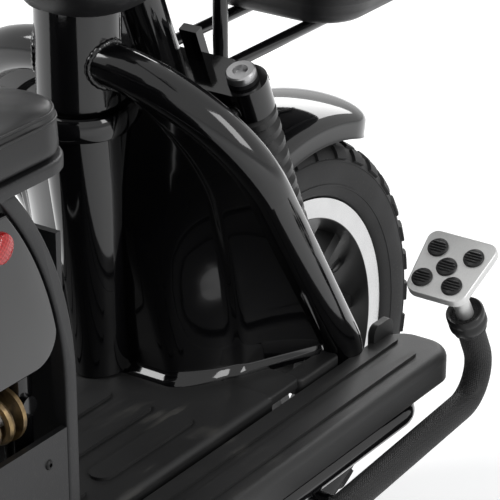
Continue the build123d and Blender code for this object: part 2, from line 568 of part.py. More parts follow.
# Front basket on bars from the yoke
BASKET_Z = 580
BASKET_X = back(-86)
TUB = (
    # height, length, width, corner
    (0, 190, 176, 34),
    (22, 206, 200, 40),
    (170, 250, 300, 46),
)
TUB_WALL = 4
outer = loft([Pos(BASKET_X, 0, BASKET_Z + z) * RectangleRounded(x, y, r) for z, x, y, r in TUB], ruled=True)
inner = loft([Pos(BASKET_X, 0, BASKET_Z + z + TUB_WALL) * RectangleRounded(x - 2 * TUB_WALL, y - 2 * TUB_WALL, r - TUB_WALL)
              for z, x, y, r in TUB], ruled=True)
keep("front_basket", outer - inner)
bar_z = BASKET_Z - 6 - FIT
BASKET_BAR_Y = 40
flat_bar = rod((back(160), BASKET_BAR_Y, bar_z), (back(-150), BASKET_BAR_Y, bar_z), 6)
upright = bent([(back(132), BASKET_BAR_Y, bar_z), (back(132), BASKET_BAR_Y, BASKET_Z + 150), (back(34), BASKET_BAR_Y, BASKET_Z + 150)],
               (34,), 7)
keep("basket_bars", [one - NODES["front_basket"] - NODES["fork_yoke"] for one in both(fuse([flat_bar, upright]))])

# Wheels
wheel("front", Pos(FRONT_X, 0, TYRE_RADIUS), FRONT_AXLE_RADIUS + FIT, FRONT_HUB_HALF, 1)
for name, side in (("rear_left", 1), ("rear_right", -1)):
    wheel(name, Pos(REAR_X, side * axle_end, TYRE_RADIUS), REAR_SHAFT_RADIUS + FIT, REAR_HUB_HALF, -side)

for name, shape in NODES.items():
    export_step(shape, "parts/" + name + ".step")
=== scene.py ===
import json
import math

import bmesh
import bpy
from mathutils import Matrix, Vector


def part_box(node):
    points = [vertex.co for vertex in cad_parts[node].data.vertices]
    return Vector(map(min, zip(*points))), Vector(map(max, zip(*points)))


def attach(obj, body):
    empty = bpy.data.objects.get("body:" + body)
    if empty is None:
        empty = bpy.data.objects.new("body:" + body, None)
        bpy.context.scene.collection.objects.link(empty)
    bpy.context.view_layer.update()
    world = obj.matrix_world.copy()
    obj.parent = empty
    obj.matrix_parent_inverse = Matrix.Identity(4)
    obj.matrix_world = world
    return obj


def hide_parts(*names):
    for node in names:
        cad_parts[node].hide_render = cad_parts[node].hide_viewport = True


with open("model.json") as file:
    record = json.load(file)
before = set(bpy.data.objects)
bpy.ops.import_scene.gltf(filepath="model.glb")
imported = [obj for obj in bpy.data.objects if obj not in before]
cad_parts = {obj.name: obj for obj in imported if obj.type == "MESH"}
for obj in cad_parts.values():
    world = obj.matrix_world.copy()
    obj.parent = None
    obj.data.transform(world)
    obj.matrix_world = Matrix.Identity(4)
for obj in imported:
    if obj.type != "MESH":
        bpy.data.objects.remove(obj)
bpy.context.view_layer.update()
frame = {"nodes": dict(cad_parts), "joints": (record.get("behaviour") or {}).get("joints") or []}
NODES = frame["nodes"]


def corners_of(node):
    """Low and high corner of a CAD node's box."""
    return [Vector(corner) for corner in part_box(node)]


def centre_of(node):
    """Middle of a CAD node's box."""
    low, high = corners_of(node)
    return (low + high) / 2


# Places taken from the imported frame, in metres
WHEELS = ("front", "rear_left", "rear_right")
FRONT_AXLE = centre_of("front_tyre")
TYRE_RADIUS = FRONT_AXLE.z - corners_of("front_tyre")[0].z
STEERING = next(joint for joint in frame["joints"] if joint["name"] == "steering_turn")
STEER_UP = Vector(STEERING["axis"]).normalized()
STEER_FOOT = Vector(STEERING["pos_m"])
STEER_FORE = Vector((STEER_UP.z, 0, -STEER_UP.x))
LEFT = Vector((0, 1, 0))
SIDES = (1, -1)


# Shader helpers
class Value:
    """A shader socket that can be used in plain Python sums."""

    def __init__(self, finish, socket):
        self.finish = finish
        self.socket = socket

    def sum(self, operation, first, second):
        return self.finish.add("ShaderNodeMath", {"operation": operation}, {0: first, 1: second})

    def __add__(self, other):
        return self.sum("ADD", self, other)

    def __sub__(self, other):
        return self.sum("SUBTRACT", self, other)

    def __rsub__(self, other):
        return self.sum("SUBTRACT", other, self)

    def __mul__(self, other):
        return self.sum("MULTIPLY", self, other)

    def __pow__(self, other):
        return self.sum("POWER", self, other)

    __radd__ = __add__
    __rmul__ = __mul__


class Finish:
    """One procedural material built round a Principled shader."""

    def __init__(self, name, **constants):
        self.material = bpy.data.materials.new(name)
        self.material.use_nodes = True
        self.tree = self.material.node_tree
        self.shader = self.tree.nodes["Principled BSDF"]
        for key, value in constants.items():
            self.shader.inputs[key.replace("_", " ")].default_value = value

    def add(self, kind, settings=None, sockets=None, out=0):
        """A new node: its settings first, then the values or links of its sockets."""
        node = self.tree.nodes.new(kind)
        for key, value in (settings or {}).items():
            setattr(node, key, value)
        for key, value in (sockets or {}).items():
            self.join(value, node.inputs[key])
        return Value(self, node.outputs[out])

    def join(self, value, socket):
        if isinstance(value, Value):
            self.tree.links.new(value.socket, socket)
        else:
            socket.default_value = value

    def feed(self, **sockets):
        for key, value in sockets.items():
            self.join(value, self.shader.inputs[key.replace("_", " ")])

    def place(self, centre=(0, 0, 0), scale=(1, 1, 1), turn=(0, 0, 0)):
        """Object coordinates, centred, turned and stretched."""
        where = self.add("ShaderNodeTexCoord", out="Object")
        moved = self.add("ShaderNodeVectorMath", {"operation": "SUBTRACT"}, {0: where, 1: centre})
        return self.add("ShaderNodeMapping", {}, {"Vector": moved, "Rotation": turn, "Scale": scale})

    def noise(self, scale, detail=3, where=None):
        sockets = {"Vector": where or self.place(), "Scale": scale, "Detail": detail}
        return self.add("ShaderNodeTexNoise", {}, sockets)

    def cells(self, scale, where=None, feature="F1"):
        sockets = {"Vector": where or self.place(), "Scale": scale}
        return self.add("ShaderNodeTexVoronoi", {"feature": feature}, sockets)

    def axes(self, where):
        return [self.add("ShaderNodeSeparateXYZ", {}, {0: where}, out=k) for k in range(3)]

    def wave(self, value, pitch):
        """Sine of a length with the given pitch."""
        turned = value * (2 * math.pi / pitch)
        return self.add("ShaderNodeMath", {"operation": "SINE"}, {0: turned})

    def clamp(self, value, low, high):
        """The value mapped from low..high to 0..1 and held there."""
        sockets = {"Value": value, "From Min": low, "From Max": high}
        return self.add("ShaderNodeMapRange", {}, sockets)

    def mix(self, factor, first, second):
        sockets = {0: factor, 6: (*first, 1) if isinstance(first, tuple) else first,
                   7: (*second, 1) if isinstance(second, tuple) else second}
        return self.add("ShaderNodeMix", {"data_type": "RGBA"}, sockets, out=2)

    def bump(self, height, strength, distance):
        sockets = {"Height": height, "Strength": strength, "Distance": distance}
        return self.add("ShaderNodeBump", {}, sockets)


def gloss_paint():
    """Deep gloss black with faint orange peel, haze and settled dust."""
    finish = Finish("gloss_black_paint", IOR=1.46, Coat_Roughness=0.03)
    haze = finish.noise(14, 4)
    dust = finish.clamp(finish.noise(520, 2), 0.68, 0.76) * finish.clamp(finish.noise(9, 2), 0.45, 0.7)
    peel = finish.noise(420, 1)
    finish.feed(Base_Color=finish.mix(dust * 0.35, (0.0035, 0.0035, 0.004), (0.05, 0.05, 0.048)),
                Roughness=0.07 + haze * 0.07 + dust * 0.2, Coat_Weight=0.25 + haze * 0.2,
                Normal=finish.bump(peel, 0.035, 0.0006))
    return finish.material


def shield_gloss():
    """Moulded gloss black panel with hairline scuffs."""
    finish = Finish("shield_gloss_black", IOR=1.46, Coat_Roughness=0.02)
    haze = finish.noise(7, 3)
    hairs = finish.noise(60, 4, finish.place(scale=(1, 1, 14)))
    scuff = finish.clamp(hairs, 0.66, 0.74) * finish.clamp(haze, 0.5, 0.7)
    finish.feed(Base_Color=finish.mix(scuff * 0.2, (0.003, 0.003, 0.0035), (0.03, 0.03, 0.03)),
                Roughness=0.04 + haze * 0.06 + scuff * 0.15, Coat_Weight=0.3 + haze * 0.2,
                Normal=finish.bump(finish.noise(45, 1), 0.05, 0.0015))
    return finish.material


def satin_plastic():
    """Satin black moulded plastic with a fine pebble grain."""
    finish = Finish("satin_black_plastic", IOR=1.45)
    grain = finish.cells(900)
    cloud = finish.noise(11, 4)
    dust = finish.clamp(finish.noise(260, 3), 0.6, 0.75) * cloud
    finish.feed(Base_Color=finish.mix(dust * 0.5, (0.011, 0.011, 0.012), (0.05, 0.049, 0.047)),
                Roughness=0.36 + cloud * 0.14, Normal=finish.bump(grain, 0.1, 0.0008))
    return finish.material


def mat_rubber():
    """Dusty black rubber of the foot deck with scuffs along the ribs."""
    finish = Finish("deck_rubber", IOR=1.42)
    grain = finish.noise(1100, 2)
    cloud = finish.noise(16, 5)
    streak = finish.noise(70, 5, finish.place(scale=(0.16, 1, 1)))
    scuff = finish.clamp(streak, 0.56, 0.72) * finish.clamp(cloud, 0.48, 0.66)
    speck = finish.clamp(finish.cells(210), 0.07, 0.02) * finish.clamp(finish.noise(40, 2), 0.55, 0.62)
    base = finish.mix(cloud, (0.011, 0.011, 0.0115), (0.021, 0.021, 0.021))
    dusty = finish.mix(scuff * 0.55 + speck * 0.8, base, (0.11, 0.105, 0.095))
    finish.feed(Base_Color=dusty, Roughness=0.42 + cloud * 0.2 + scuff * 0.2,
                Normal=finish.bump(grain + streak * 0.6, 0.12, 0.0008))
    return finish.material


def knurled_rubber():
    """Black rubber with a fine knurl of small raised points."""
    finish = Finish("knurled_rubber", IOR=1.42)
    across, along, up = finish.axes(finish.place(turn=(0.6, 0.5, 0.4)))
    pitch = 0.0032
    points = finish.wave(across, pitch) * finish.wave(along, pitch) * finish.wave(up, pitch)
    worn = finish.noise(30, 3)
    finish.feed(Base_Color=finish.mix(points * 0.5 + worn * 0.4, (0.008, 0.008, 0.0085), (0.03, 0.03, 0.03)),
                Roughness=0.5 + worn * 0.2, Normal=finish.bump(points, 0.55, 0.0008))
    return finish.material


def smooth_rubber():
    """Plain black rubber of bellows, grips and studs."""
    finish = Finish("smooth_rubber", IOR=1.43)
    cloud = finish.noise(40, 4)
    finish.feed(Base_Color=finish.mix(cloud, (0.009, 0.009, 0.0095), (0.022, 0.022, 0.022)),
                Roughness=0.3 + cloud * 0.2, Normal=finish.bump(finish.noise(700, 2), 0.08, 0.0006))
    return finish.material


def brushed_pad():
    """Brushed aluminium of the pedal pad."""
    finish = Finish("brushed_aluminium")
    streak = finish.noise(900, 3, finish.place(turn=(0, 0.55, 0), scale=(0.03, 1, 1)))
    blotch = finish.noise(35, 3)
    finish.feed(Base_Color=finish.mix(streak * 0.6 + blotch * 0.3, (0.66, 0.66, 0.65), (0.88, 0.88, 0.87)),
                Metallic=0.62 + blotch * 0.1, Roughness=0.34 + streak * 0.16,
                Normal=finish.bump(streak, 0.12, 0.0003))
    return finish.material


def bright_steel():
    """Plated steel of axles, nuts and bolts."""
    finish = Finish("plated_steel")
    cloud = finish.noise(60, 4)
    finish.feed(Base_Color=finish.mix(cloud, (0.42, 0.42, 0.43), (0.62, 0.62, 0.62)),
                Metallic=0.9 + cloud * 0.1, Roughness=0.22 + cloud * 0.2,
                Normal=finish.bump(finish.noise(800, 2), 0.05, 0.0003))
    return finish.material


def dark_bolt():
    """Blackened bolt steel with worn edges."""
    finish = Finish("black_bolt_steel")
    cloud = finish.noise(150, 4)
    worn = finish.clamp(cloud, 0.5, 0.8)
    finish.feed(Base_Color=finish.mix(worn, (0.012, 0.012, 0.012), (0.09, 0.09, 0.09)),
                Metallic=0.5 + cloud * 0.3, Roughness=0.28 + cloud * 0.2)
    return finish.material


def spring_metal():
    """Yellowish plated spring wire, dulled by dirt."""
    finish = Finish("plated_spring")
    grime = finish.noise(90, 4)
    dirty = finish.clamp(grime, 0.35, 0.7)
    finish.feed(Base_Color=finish.mix(dirty, (0.36, 0.25, 0.12), (0.06, 0.045, 0.03)),
                Metallic=0.95 - grime * 0.3, Roughness=0.24 + grime * 0.25)
    return finish.material


def leather():
    """Smooth black leather with fine grain and soft creases."""
    finish = Finish("black_leather", IOR=1.45)
    grain = finish.cells(620, feature="DISTANCE_TO_EDGE")
    crease = finish.noise(24, 4)
    shine = finish.noise(8, 2)
    finish.feed(Base_Color=finish.mix(crease, (0.0075, 0.0075, 0.008), (0.016, 0.016, 0.0165)),
                Roughness=0.36 + shine * 0.14, Normal=finish.bump(grain * 0.6 + crease * 0.5, 0.14, 0.0012))
    return finish.material


def tyre_rubber():
    """Tyre rubber, a little dusty, with fine circular mould lines."""
    finish = Finish("tyre_rubber", IOR=1.42)
    cloud = finish.noise(22, 5)
    grit = finish.clamp(finish.noise(420, 3), 0.55, 0.75) * finish.clamp(cloud, 0.4, 0.7)
    finish.feed(Base_Color=finish.mix(grit * 0.6, (0.012, 0.012, 0.0125), (0.06, 0.058, 0.053)),
                Roughness=0.5 + cloud * 0.25, Normal=finish.bump(finish.noise(650, 3), 0.12, 0.0008))
    return finish.material


RING_RADIUS = 0.1435
RING_HALF = 0.0285
RING_BLUR = 0.0005


def wheel_alloy(name, centre):
    """Cast wheel: black satin spokes with a machined bright rim face."""
    finish = Finish(name)
    x, y, z = finish.axes(finish.place(centre=tuple(centre)))
    radius = (x * x + z * z) ** 0.5
    edge = finish.add("ShaderNodeMath", {"operation": "ABSOLUTE"}, {0: y})
    inside = finish.clamp(radius, RING_RADIUS, RING_RADIUS + RING_BLUR)
    ring = inside * finish.clamp(edge, RING_HALF, RING_HALF + RING_BLUR)
    lines = finish.wave(radius, 0.0011)
    cloud = finish.noise(50, 3)
    bright = finish.mix(cloud * 0.5 + lines * 0.1, (0.58, 0.58, 0.58), (0.82, 0.82, 0.82))
    dark = finish.mix(cloud, (0.009, 0.009, 0.0095), (0.02, 0.02, 0.02))
    finish.feed(Base_Color=finish.mix(ring, dark, bright), Metallic=ring,
                Roughness=0.36 - ring * 0.16 + cloud * 0.08,
                Normal=finish.bump(lines * ring, 0.05, 0.0003))
    return finish.material


def lamp_red():
    """Red lamp lens with a fine prism grid."""
    finish = Finish("red_lamp", IOR=1.49, Coat_Roughness=0.03)
    x, y, z = finish.axes(finish.place())
    pitch = 0.004
    prism = finish.wave(x, pitch) * finish.wave(z, pitch)
    finish.feed(Base_Color=finish.mix(prism * 0.5 + 0.4, (0.42, 0.004, 0.006), (0.72, 0.012, 0.012)),
                Roughness=0.1 + prism * 0.06, Coat_Weight=0.4 + prism * 0.1,
                Normal=finish.bump(prism, 0.2, 0.0008))
    return finish.material


def lamp_clear():
    """Fluted clear lens over a bright bowl."""
    finish = Finish("clear_lamp", IOR=1.49, Coat_Roughness=0.02)
    x, y, z = finish.axes(finish.place())
    flute = finish.wave(y, 0.008)
    finish.feed(Base_Color=finish.mix(flute * 0.5 + 0.5, (0.62, 0.64, 0.66), (0.85, 0.87, 0.88)),
                Metallic=0.35 + flute * 0.1, Roughness=0.09 + flute * 0.04, Coat_Weight=0.6 + flute * 0.1,
                Normal=finish.bump(flute, 0.3, 0.001))
    return finish.material


def mirror_glass():
    """Silvered mirror with a trace of haze."""
    finish = Finish("mirror_glass")
    haze = finish.noise(30, 3)
    finish.feed(Base_Color=finish.mix(haze, (0.78, 0.8, 0.81), (0.86, 0.87, 0.88)),
                Metallic=0.97 + haze * 0.03, Roughness=0.02 + haze * 0.04)
    return finish.material


def screen_glass():
    """Dark display glass."""
    finish = Finish("display_glass", IOR=1.5, Coat_Roughness=0.02)
    haze = finish.noise(25, 3)
    finish.feed(Base_Color=finish.mix(haze, (0.006, 0.008, 0.009), (0.014, 0.018, 0.02)),
                Roughness=0.06 + haze * 0.05, Coat_Weight=0.5 + haze * 0.2)
    return finish.material


PAINT = gloss_paint()
SHIELD = shield_gloss()
SATIN = satin_plastic()
MAT = mat_rubber()
KNURL = knurled_rubber()
RUBBER = smooth_rubber()
PAD = brushed_pad()
STEEL = bright_steel()
BOLT = dark_bolt()
SPRING = spring_metal()
LEATHER = leather()
TYRE = tyre_rubber()
RED = lamp_red()
CLEAR = lamp_clear()
MIRROR = mirror_glass()
SCREEN = screen_glass()

NODE_FINISH = {
    PAINT: ("neck", "arch_tubes", "seat_frame", "frame_crosses", "side_rails", "backrest_frame", "rear_rack",
            "trailing_arms", "fork_yoke", "handlebar", "basket_bars", "fender_brackets"),
    SHIELD: ("rear_panel", "rear_fenders", "mirrors"),
    SATIN: ("seat_front_panel", "lower_covers", "battery_pack", "console", "headlamp", "rear_axle",
            "brake_levers", "fork_legs"),
    MAT: ("floor_mat", "footboards"),
    KNURL: ("pedal_sleeve",),
    RUBBER: ("fork_gaiters",),
    STEEL: ("front_axle", "dampers"),
    RED: ("tail_lamps",),
    CLEAR: ("headlamp_lens",),
}


def dress(node, material):
    """Gives a CAD node its finish."""
    mesh = NODES[node].data
    mesh.materials.clear()
    mesh.materials.append(material)


for material, names in NODE_FINISH.items():
    for name in names:
        dress(name, material)
for wheel in WHEELS:
    dress(wheel + "_casting", wheel_alloy(wheel + "_wheel_alloy", centre_of(wheel + "_tyre")))


# Modelling helpers
def stand(point, up, fore=(1, 0, 0)):
    """Placement at a point with Z along up and X close to fore."""
    z = Vector(up).normalized()
    y = z.cross(Vector(fore)).normalized()
    x = y.cross(z)
    return Matrix.Translation(point) @ Matrix((x, y, z)).transposed().to_4x4()


def finished(name, shape, material, body, crease=35, node=None):
    """Turns a shape into a piece with its finish and body, and hides the CAD node that it stands for."""
    bmesh.ops.remove_doubles(shape, verts=shape.verts, dist=1e-6)
    bmesh.ops.recalc_face_normals(shape, faces=shape.faces)
    mesh = bpy.data.meshes.new(name)
    shape.to_mesh(mesh)
    shape.free()
    mesh.materials.append(material)
    mesh.shade_smooth()
    mesh.set_sharp_from_angle(angle=math.radians(crease))
    piece = bpy.data.objects.new(name, mesh)
    bpy.context.scene.collection.objects.link(piece)
    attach(piece, body)
    if node:
        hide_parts(node)
    return piece


def turn(shape, line, place, steps=32, closed=False):
    """Spins a line of (radius, height) points round the Z axis of a placement."""
    verts = [shape.verts.new(place @ Vector((radius, 0, height))) for radius, height in line]
    pairs = list(zip(verts, verts[1:]))
    if closed:
        pairs.append((verts[-1], verts[0]))
    edges = [shape.edges.new(pair) for pair in pairs]
    axis = place.to_3x3() @ Vector((0, 0, 1))
    bmesh.ops.spin(shape, geom=verts + edges, cent=place.translation, axis=axis, angle=2 * math.pi,
                   steps=steps, use_merge=True)
    bmesh.ops.remove_doubles(shape, verts=shape.verts, dist=1e-6)


def round_edges(shape, edges, offset, segments=3):
    """Rounds edges."""
    bmesh.ops.bevel(shape, geom=edges, offset=offset, segments=segments, profile=0.5, affect="EDGES",
                    material=-1)


def raise_face(shape, points, way):
    """Closed plate from the loop of its base and the way to its top; gives the edges round the top."""
    base = shape.faces.new([shape.verts.new(point) for point in points])
    raised = bmesh.ops.extrude_face_region(shape, geom=[base])["geom"]
    tops = [item for item in raised if isinstance(item, bmesh.types.BMVert)]
    bmesh.ops.translate(shape, verts=tops, vec=way)
    lid = [item for item in raised if isinstance(item, bmesh.types.BMFace)]
    return list({edge for face in lid for edge in face.edges})


def loop_edges(verts):
    """Edges of a loop from its points."""
    return list({edge for vert in verts for edge in vert.link_edges})


def join_loops(shape, loops):
    """Skin from each loop of edges to the next."""
    for low, high in zip(loops, loops[1:]):
        bmesh.ops.bridge_loops(shape, edges=low + high)


def rings(shape, points, radii, fore, sides=10, closed=False):
    """Round bar along points, with one radius for each of them."""
    count = len(points)
    loops = []
    for k, (point, radius) in enumerate(zip(points, radii)):
        last = points[k - 1] if closed or k else point
        following = points[(k + 1) % count] if closed or k < count - 1 else point
        place = stand(point, following - last, fore)
        ends = not closed and k in (0, count - 1)
        circle = bmesh.ops.create_circle(shape, cap_ends=ends, segments=sides, radius=radius, matrix=place)
        loops.append(loop_edges(circle["verts"]))
    join_loops(shape, loops + loops[:1] if closed else loops)


def piping(shape, points, radius, up, sides=8):
    """Closed round bar of one radius along points."""
    rings(shape, points, [radius] * len(points), up, sides, closed=True)


def hexagon(shape, point, up, width, fore=(1, 0, 0)):
    """Hexagon bolt head of the given width on a round washer."""
    place = stand(point, up, fore)
    washer = [(0, 0), (0.68, 0), (0.68, 0.1), (0.5, 0.13), (0, 0.13)]
    turn(shape, [(radius * width, height * width) for radius, height in washer], place, 24)
    head = place @ Matrix.Translation((0, 0, width * 0.4))
    radius = width * 0.58
    cone = bmesh.ops.create_cone(shape, cap_ends=True, segments=6, radius1=radius, radius2=radius,
                                 depth=width * 0.55, matrix=head)
    round_edges(shape, loop_edges(cone["verts"]), width * 0.05, 2)


def dome_screw(shape, point, up, width, fore=(1, 0, 0)):
    """Round headed screw with a socket in its top."""
    line = [(0, 0.16), (0.2, 0.16), (0.2, 0.42), (0.3, 0.42), (0.42, 0.34), (0.5, 0.2), (0.52, 0), (0, 0)]
    turn(shape, [(r * width, z * width) for r, z in line], stand(point, up, fore), 24)


def rounded_loop(length, width, corner, count=10):
    """Points of a rounded rectangle about the origin."""
    points = []
    for turn_x, turn_y, first in ((1, 1, 0), (-1, 1, 90), (-1, -1, 180), (1, -1, 270)):
        for k in range(count + 1):
            angle = math.radians(first + 90 * k / count)
            points.append(Vector((turn_x * (length / 2 - corner) + corner * math.cos(angle),
                                  turn_y * (width / 2 - corner) + corner * math.sin(angle), 0)))
    return points


def slab(shape, place, length, width, corner, rise, round_over):
    """Plate with round corners and a rounded top edge."""
    loop = [place @ point for point in rounded_loop(length, width, corner, 6)]
    round_edges(shape, raise_face(shape, loop, place.to_3x3() @ Vector((0, 0, rise))), round_over)


def along_steer(fore, left, up):
    """Point in the raked frame of the fork, in metres."""
    return STEER_FOOT + STEER_FORE * fore + LEFT * left + STEER_UP * up


# Tyres: carcass with ribbed side walls and staggered tread blocks
CROWN_RADIUS = TYRE_RADIUS - 0.0032
BEAD_RADIUS = 0.1646
BEAD_HALF = 0.0305
FLANK_RADIUS = 0.1925
FLANK_HALF = 0.0408
CROWN_POWER = 2.4
PITCHES = 36
TREAD = (
    # start and end along one pitch, inner and outer place across, skew along the pitch
    (0.03, 0.47, 0.0012, 0.0125, 0.10),
    (0.08, 0.56, 0.0155, 0.0275, 0.12),
    (0.02, 0.60, 0.0305, 0.0450, 0.05),
)
TREAD_RISE = 0.0031
TREAD_ROOT = -0.001
TREAD_TAPER = Vector((0.88, 0.9, 1))
WALL_STEP = 0.0028
RING_FLANK = 0.0003
SIDE_RINGS = ((0.1775, 0.1795, 0.0007), (0.2022, 0.2040, 0.0006))


def crown_point(share):
    """Carcass section from the middle of the tread (0) to the widest part (1): radius, half width."""
    angle = share * math.pi / 2
    rise = (CROWN_RADIUS - FLANK_RADIUS) * math.cos(angle) ** (2 / CROWN_POWER)
    return FLANK_RADIUS + rise, FLANK_HALF * math.sin(angle) ** (2 / CROWN_POWER)


def side_width(radius):
    """Half width of the carcass at one radius, with its raised rings."""
    if radius < FLANK_RADIUS:
        share = (FLANK_RADIUS - radius) / (FLANK_RADIUS - BEAD_RADIUS)
        width = BEAD_HALF + (FLANK_HALF - BEAD_HALF) * math.sqrt(max(1 - share * share, 0))
    else:
        share = (radius - FLANK_RADIUS) / (CROWN_RADIUS - FLANK_RADIUS)
        width = FLANK_HALF * (1 - share ** CROWN_POWER) ** (1 / CROWN_POWER)
    return width + sum(rise for low, high, rise in SIDE_RINGS if low <= radius <= high)


def carcass_line():
    """Closed section of the carcass as radius and height along the axle."""
    marks = {BEAD_RADIUS + WALL_STEP * k for k in range(15)}
    for low, high, rise in SIDE_RINGS:
        marks |= {low - RING_FLANK, low, high, high + RING_FLANK}
    side = [(radius, side_width(radius)) for radius in sorted(marks)]
    top = [crown_point(share / 24) for share in range(24)]
    right = side + [point for point in reversed(top) if point[0] > side[-1][0] + 0.0005]
    return right + [(radius, -half) for radius, half in reversed(right[:-1])]


def tread_table():
    """Arc length across the tread with the section's point and outward direction there."""
    points = [Vector(crown_point(k / 80)) for k in range(77)]
    table, length = [], 0
    for before, here, after in zip(points, points[1:], points[2:]):
        length += (here - before).length
        run = (after - before).normalized()
        table.append((length, here, Vector((run.y, -run.x))))
    return table


def tread_place(table, across, rise):
    """Radius and half width of a tread point from its place across and its height."""
    length, point, out = min(table, key=lambda row: abs(row[0] - abs(across)))
    place = point + out * rise
    return place.x, math.copysign(place.y, across)


def tread_block(shape, table, block, side, shift, axle):
    """One tread block bent round the carcass."""
    start, end, inner, outer, skew = block
    grid = bmesh.ops.create_grid(shape, x_segments=2, y_segments=4, size=0.5)["verts"]
    faces = list({face for vert in grid for face in vert.link_faces})
    raised = bmesh.ops.extrude_face_region(shape, geom=faces)["geom"]
    tops = [item for item in raised if isinstance(item, bmesh.types.BMVert)]
    bmesh.ops.scale(shape, verts=tops, vec=TREAD_TAPER)
    step = 2 * math.pi / PITCHES
    for verts, rise in ((grid, TREAD_ROOT), (tops, TREAD_RISE)):
        for vert in verts:
            across = side * (inner + (outer - inner) * (vert.co.y + 0.5))
            along = start + (end - start) * (vert.co.x + 0.5) + skew * (vert.co.y + 0.5) + shift
            radius, half = tread_place(table, across, rise)
            angle = along * step
            vert.co = axle + Vector((radius * math.cos(angle), half, radius * math.sin(angle)))


def road_tyre(wheel):
    """Tyre of one wheel in place of its plain solid."""
    axle = centre_of(wheel + "_tyre")
    shape = bmesh.new()
    table = tread_table()
    for side, shift in ((1, 0), (-1, 0.5)):
        for block in TREAD:
            tread_block(shape, table, block, side, shift, axle)
    whole = list(shape.verts) + list(shape.edges) + list(shape.faces)
    turnings = PITCHES - 1
    bmesh.ops.spin(shape, geom=whole, cent=axle, axis=LEFT, angle=2 * math.pi * turnings / PITCHES,
                   steps=turnings, use_duplicate=True)
    turn(shape, carcass_line(), stand(axle, LEFT), 144, closed=True)
    finished(wheel + "_road_tyre", shape, TYRE, wheel + "_wheel", 50, wheel + "_tyre")


for wheel in WHEELS:
    road_tyre(wheel)


# Cushions: flat pads blown up as cloth, with piping sewn on
MESH_STEP = 0.006
SWELL = 0.012
PRESSURE = 4
FRAMES = 20


def plump(name, shape, base, node):
    """Cushion made by cloth pressure from a start shape; base tells which points stay put."""
    piece = finished(name, shape, LEATHER, "chassis", 80)
    remesh = piece.modifiers.new("even_mesh", "REMESH")
    remesh.mode = "VOXEL"
    remesh.voxel_size = MESH_STEP
    settle(piece)
    blow_up(piece, base)
    smooth = piece.modifiers.new("rounding", "SUBSURF")
    smooth.levels = smooth.render_levels = 1
    piece.data.shade_smooth()
    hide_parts(node)
    return piece


def settle(piece):
    """Writes what the modifiers make into the piece's own mesh and removes them."""
    graph = bpy.context.evaluated_depsgraph_get()
    made = bpy.data.meshes.new_from_object(piece.evaluated_get(graph))
    piece.modifiers.clear()
    piece.data = made


def blow_up(piece, base):
    """Cloth pressure, with all ways scaled so that the furthest point moves by the swell."""
    rest = [vert.co.copy() for vert in piece.data.vertices]
    held = piece.vertex_groups.new(name="held")
    held.add([k for k, place in enumerate(rest) if base(place)], 1, "REPLACE")
    cloth = piece.modifiers.new("filling", "CLOTH")
    cloth.settings.use_pressure = True
    cloth.settings.uniform_pressure_force = PRESSURE
    cloth.settings.effector_weights.gravity = 0
    cloth.settings.vertex_group_mass = "held"
    scene = bpy.context.scene
    for count in range(1, FRAMES + 1):
        scene.frame_set(count)
    settle(piece)
    scene.frame_set(1)
    furthest = max((vert.co - place).length for vert, place in zip(piece.data.vertices, rest))
    for vert, place in zip(piece.data.vertices, rest):
        vert.co = place.lerp(vert.co, min(SWELL / furthest, 1))


def sewn_edge(name, cover, loop, place, height, radius):
    """Piping sewn round a cushion, laid on its cover."""
    shape = bmesh.new()
    lifted = place @ Matrix.Translation((0, 0, height))
    points = [cover.closest_point_on_mesh(lifted @ point)[1] for point in loop]
    piping(shape, points, radius, place.to_3x3() @ Vector((0, 0, 1)))
    finished(name, shape, LEATHER, "chassis", 60)


PAN_LOW, PAN_HIGH = corners_of("seat_pan")
PAN_HIGH.x += 0.018
PAN_SIZE = PAN_HIGH - PAN_LOW
PAN_MIDDLE = (PAN_LOW + PAN_HIGH) / 2
PAN_RISE = 0.010
SEAT_CORNER = 0.038
SEAT_Z = PAN_LOW.z + PAN_RISE + 0.0005
SEAT_RISE = 0.042
CUSHION_START = 0.988


def seat_cushion():
    """Seat cushion and its double seam."""
    shape = bmesh.new()
    length, width = PAN_SIZE.x * CUSHION_START, PAN_SIZE.y * CUSHION_START
    place = Matrix.Translation((PAN_MIDDLE.x, 0, SEAT_Z))
    slab(shape, place, length, width, SEAT_CORNER, SEAT_RISE, 0.012)
    cover = plump("seat_cover", shape, lambda point: point.z < SEAT_Z + MESH_STEP, "seat_cushion")
    for name, height, inset in (("seat_seam_top", 0.036, 0.004), ("seat_seam_low", 0.029, 0.001)):
        loop = rounded_loop(length - inset, width - inset, SEAT_CORNER)
        sewn_edge(name, cover, loop, place, height, 0.0013)


REST_MIDDLE = centre_of("backrest_pad")
REST_OUT = Vector((0.98, 0, 0.2)).normalized()
REST_UP = Vector((-0.2, 0, 0.98)).normalized()
REST_THICK = 0.055
REST_SIZE = (0.224, 0.334, 0.05)


def backrest_cushion():
    """Backrest cushion and its piping."""
    shape = bmesh.new()
    back_face = REST_MIDDLE - REST_OUT * (REST_THICK / 2 - 0.001)
    place = stand(back_face, REST_OUT, REST_UP)
    slab(shape, place, *REST_SIZE, REST_THICK - 0.008, 0.016)
    cover = plump("backrest_cover", shape, lambda point: (point - back_face).dot(REST_OUT) < MESH_STEP,
                  "backrest_pad")
    sewn_edge("backrest_seam", cover, rounded_loop(*REST_SIZE), place, 0.030, 0.002)


seat_cushion()
backrest_cushion()


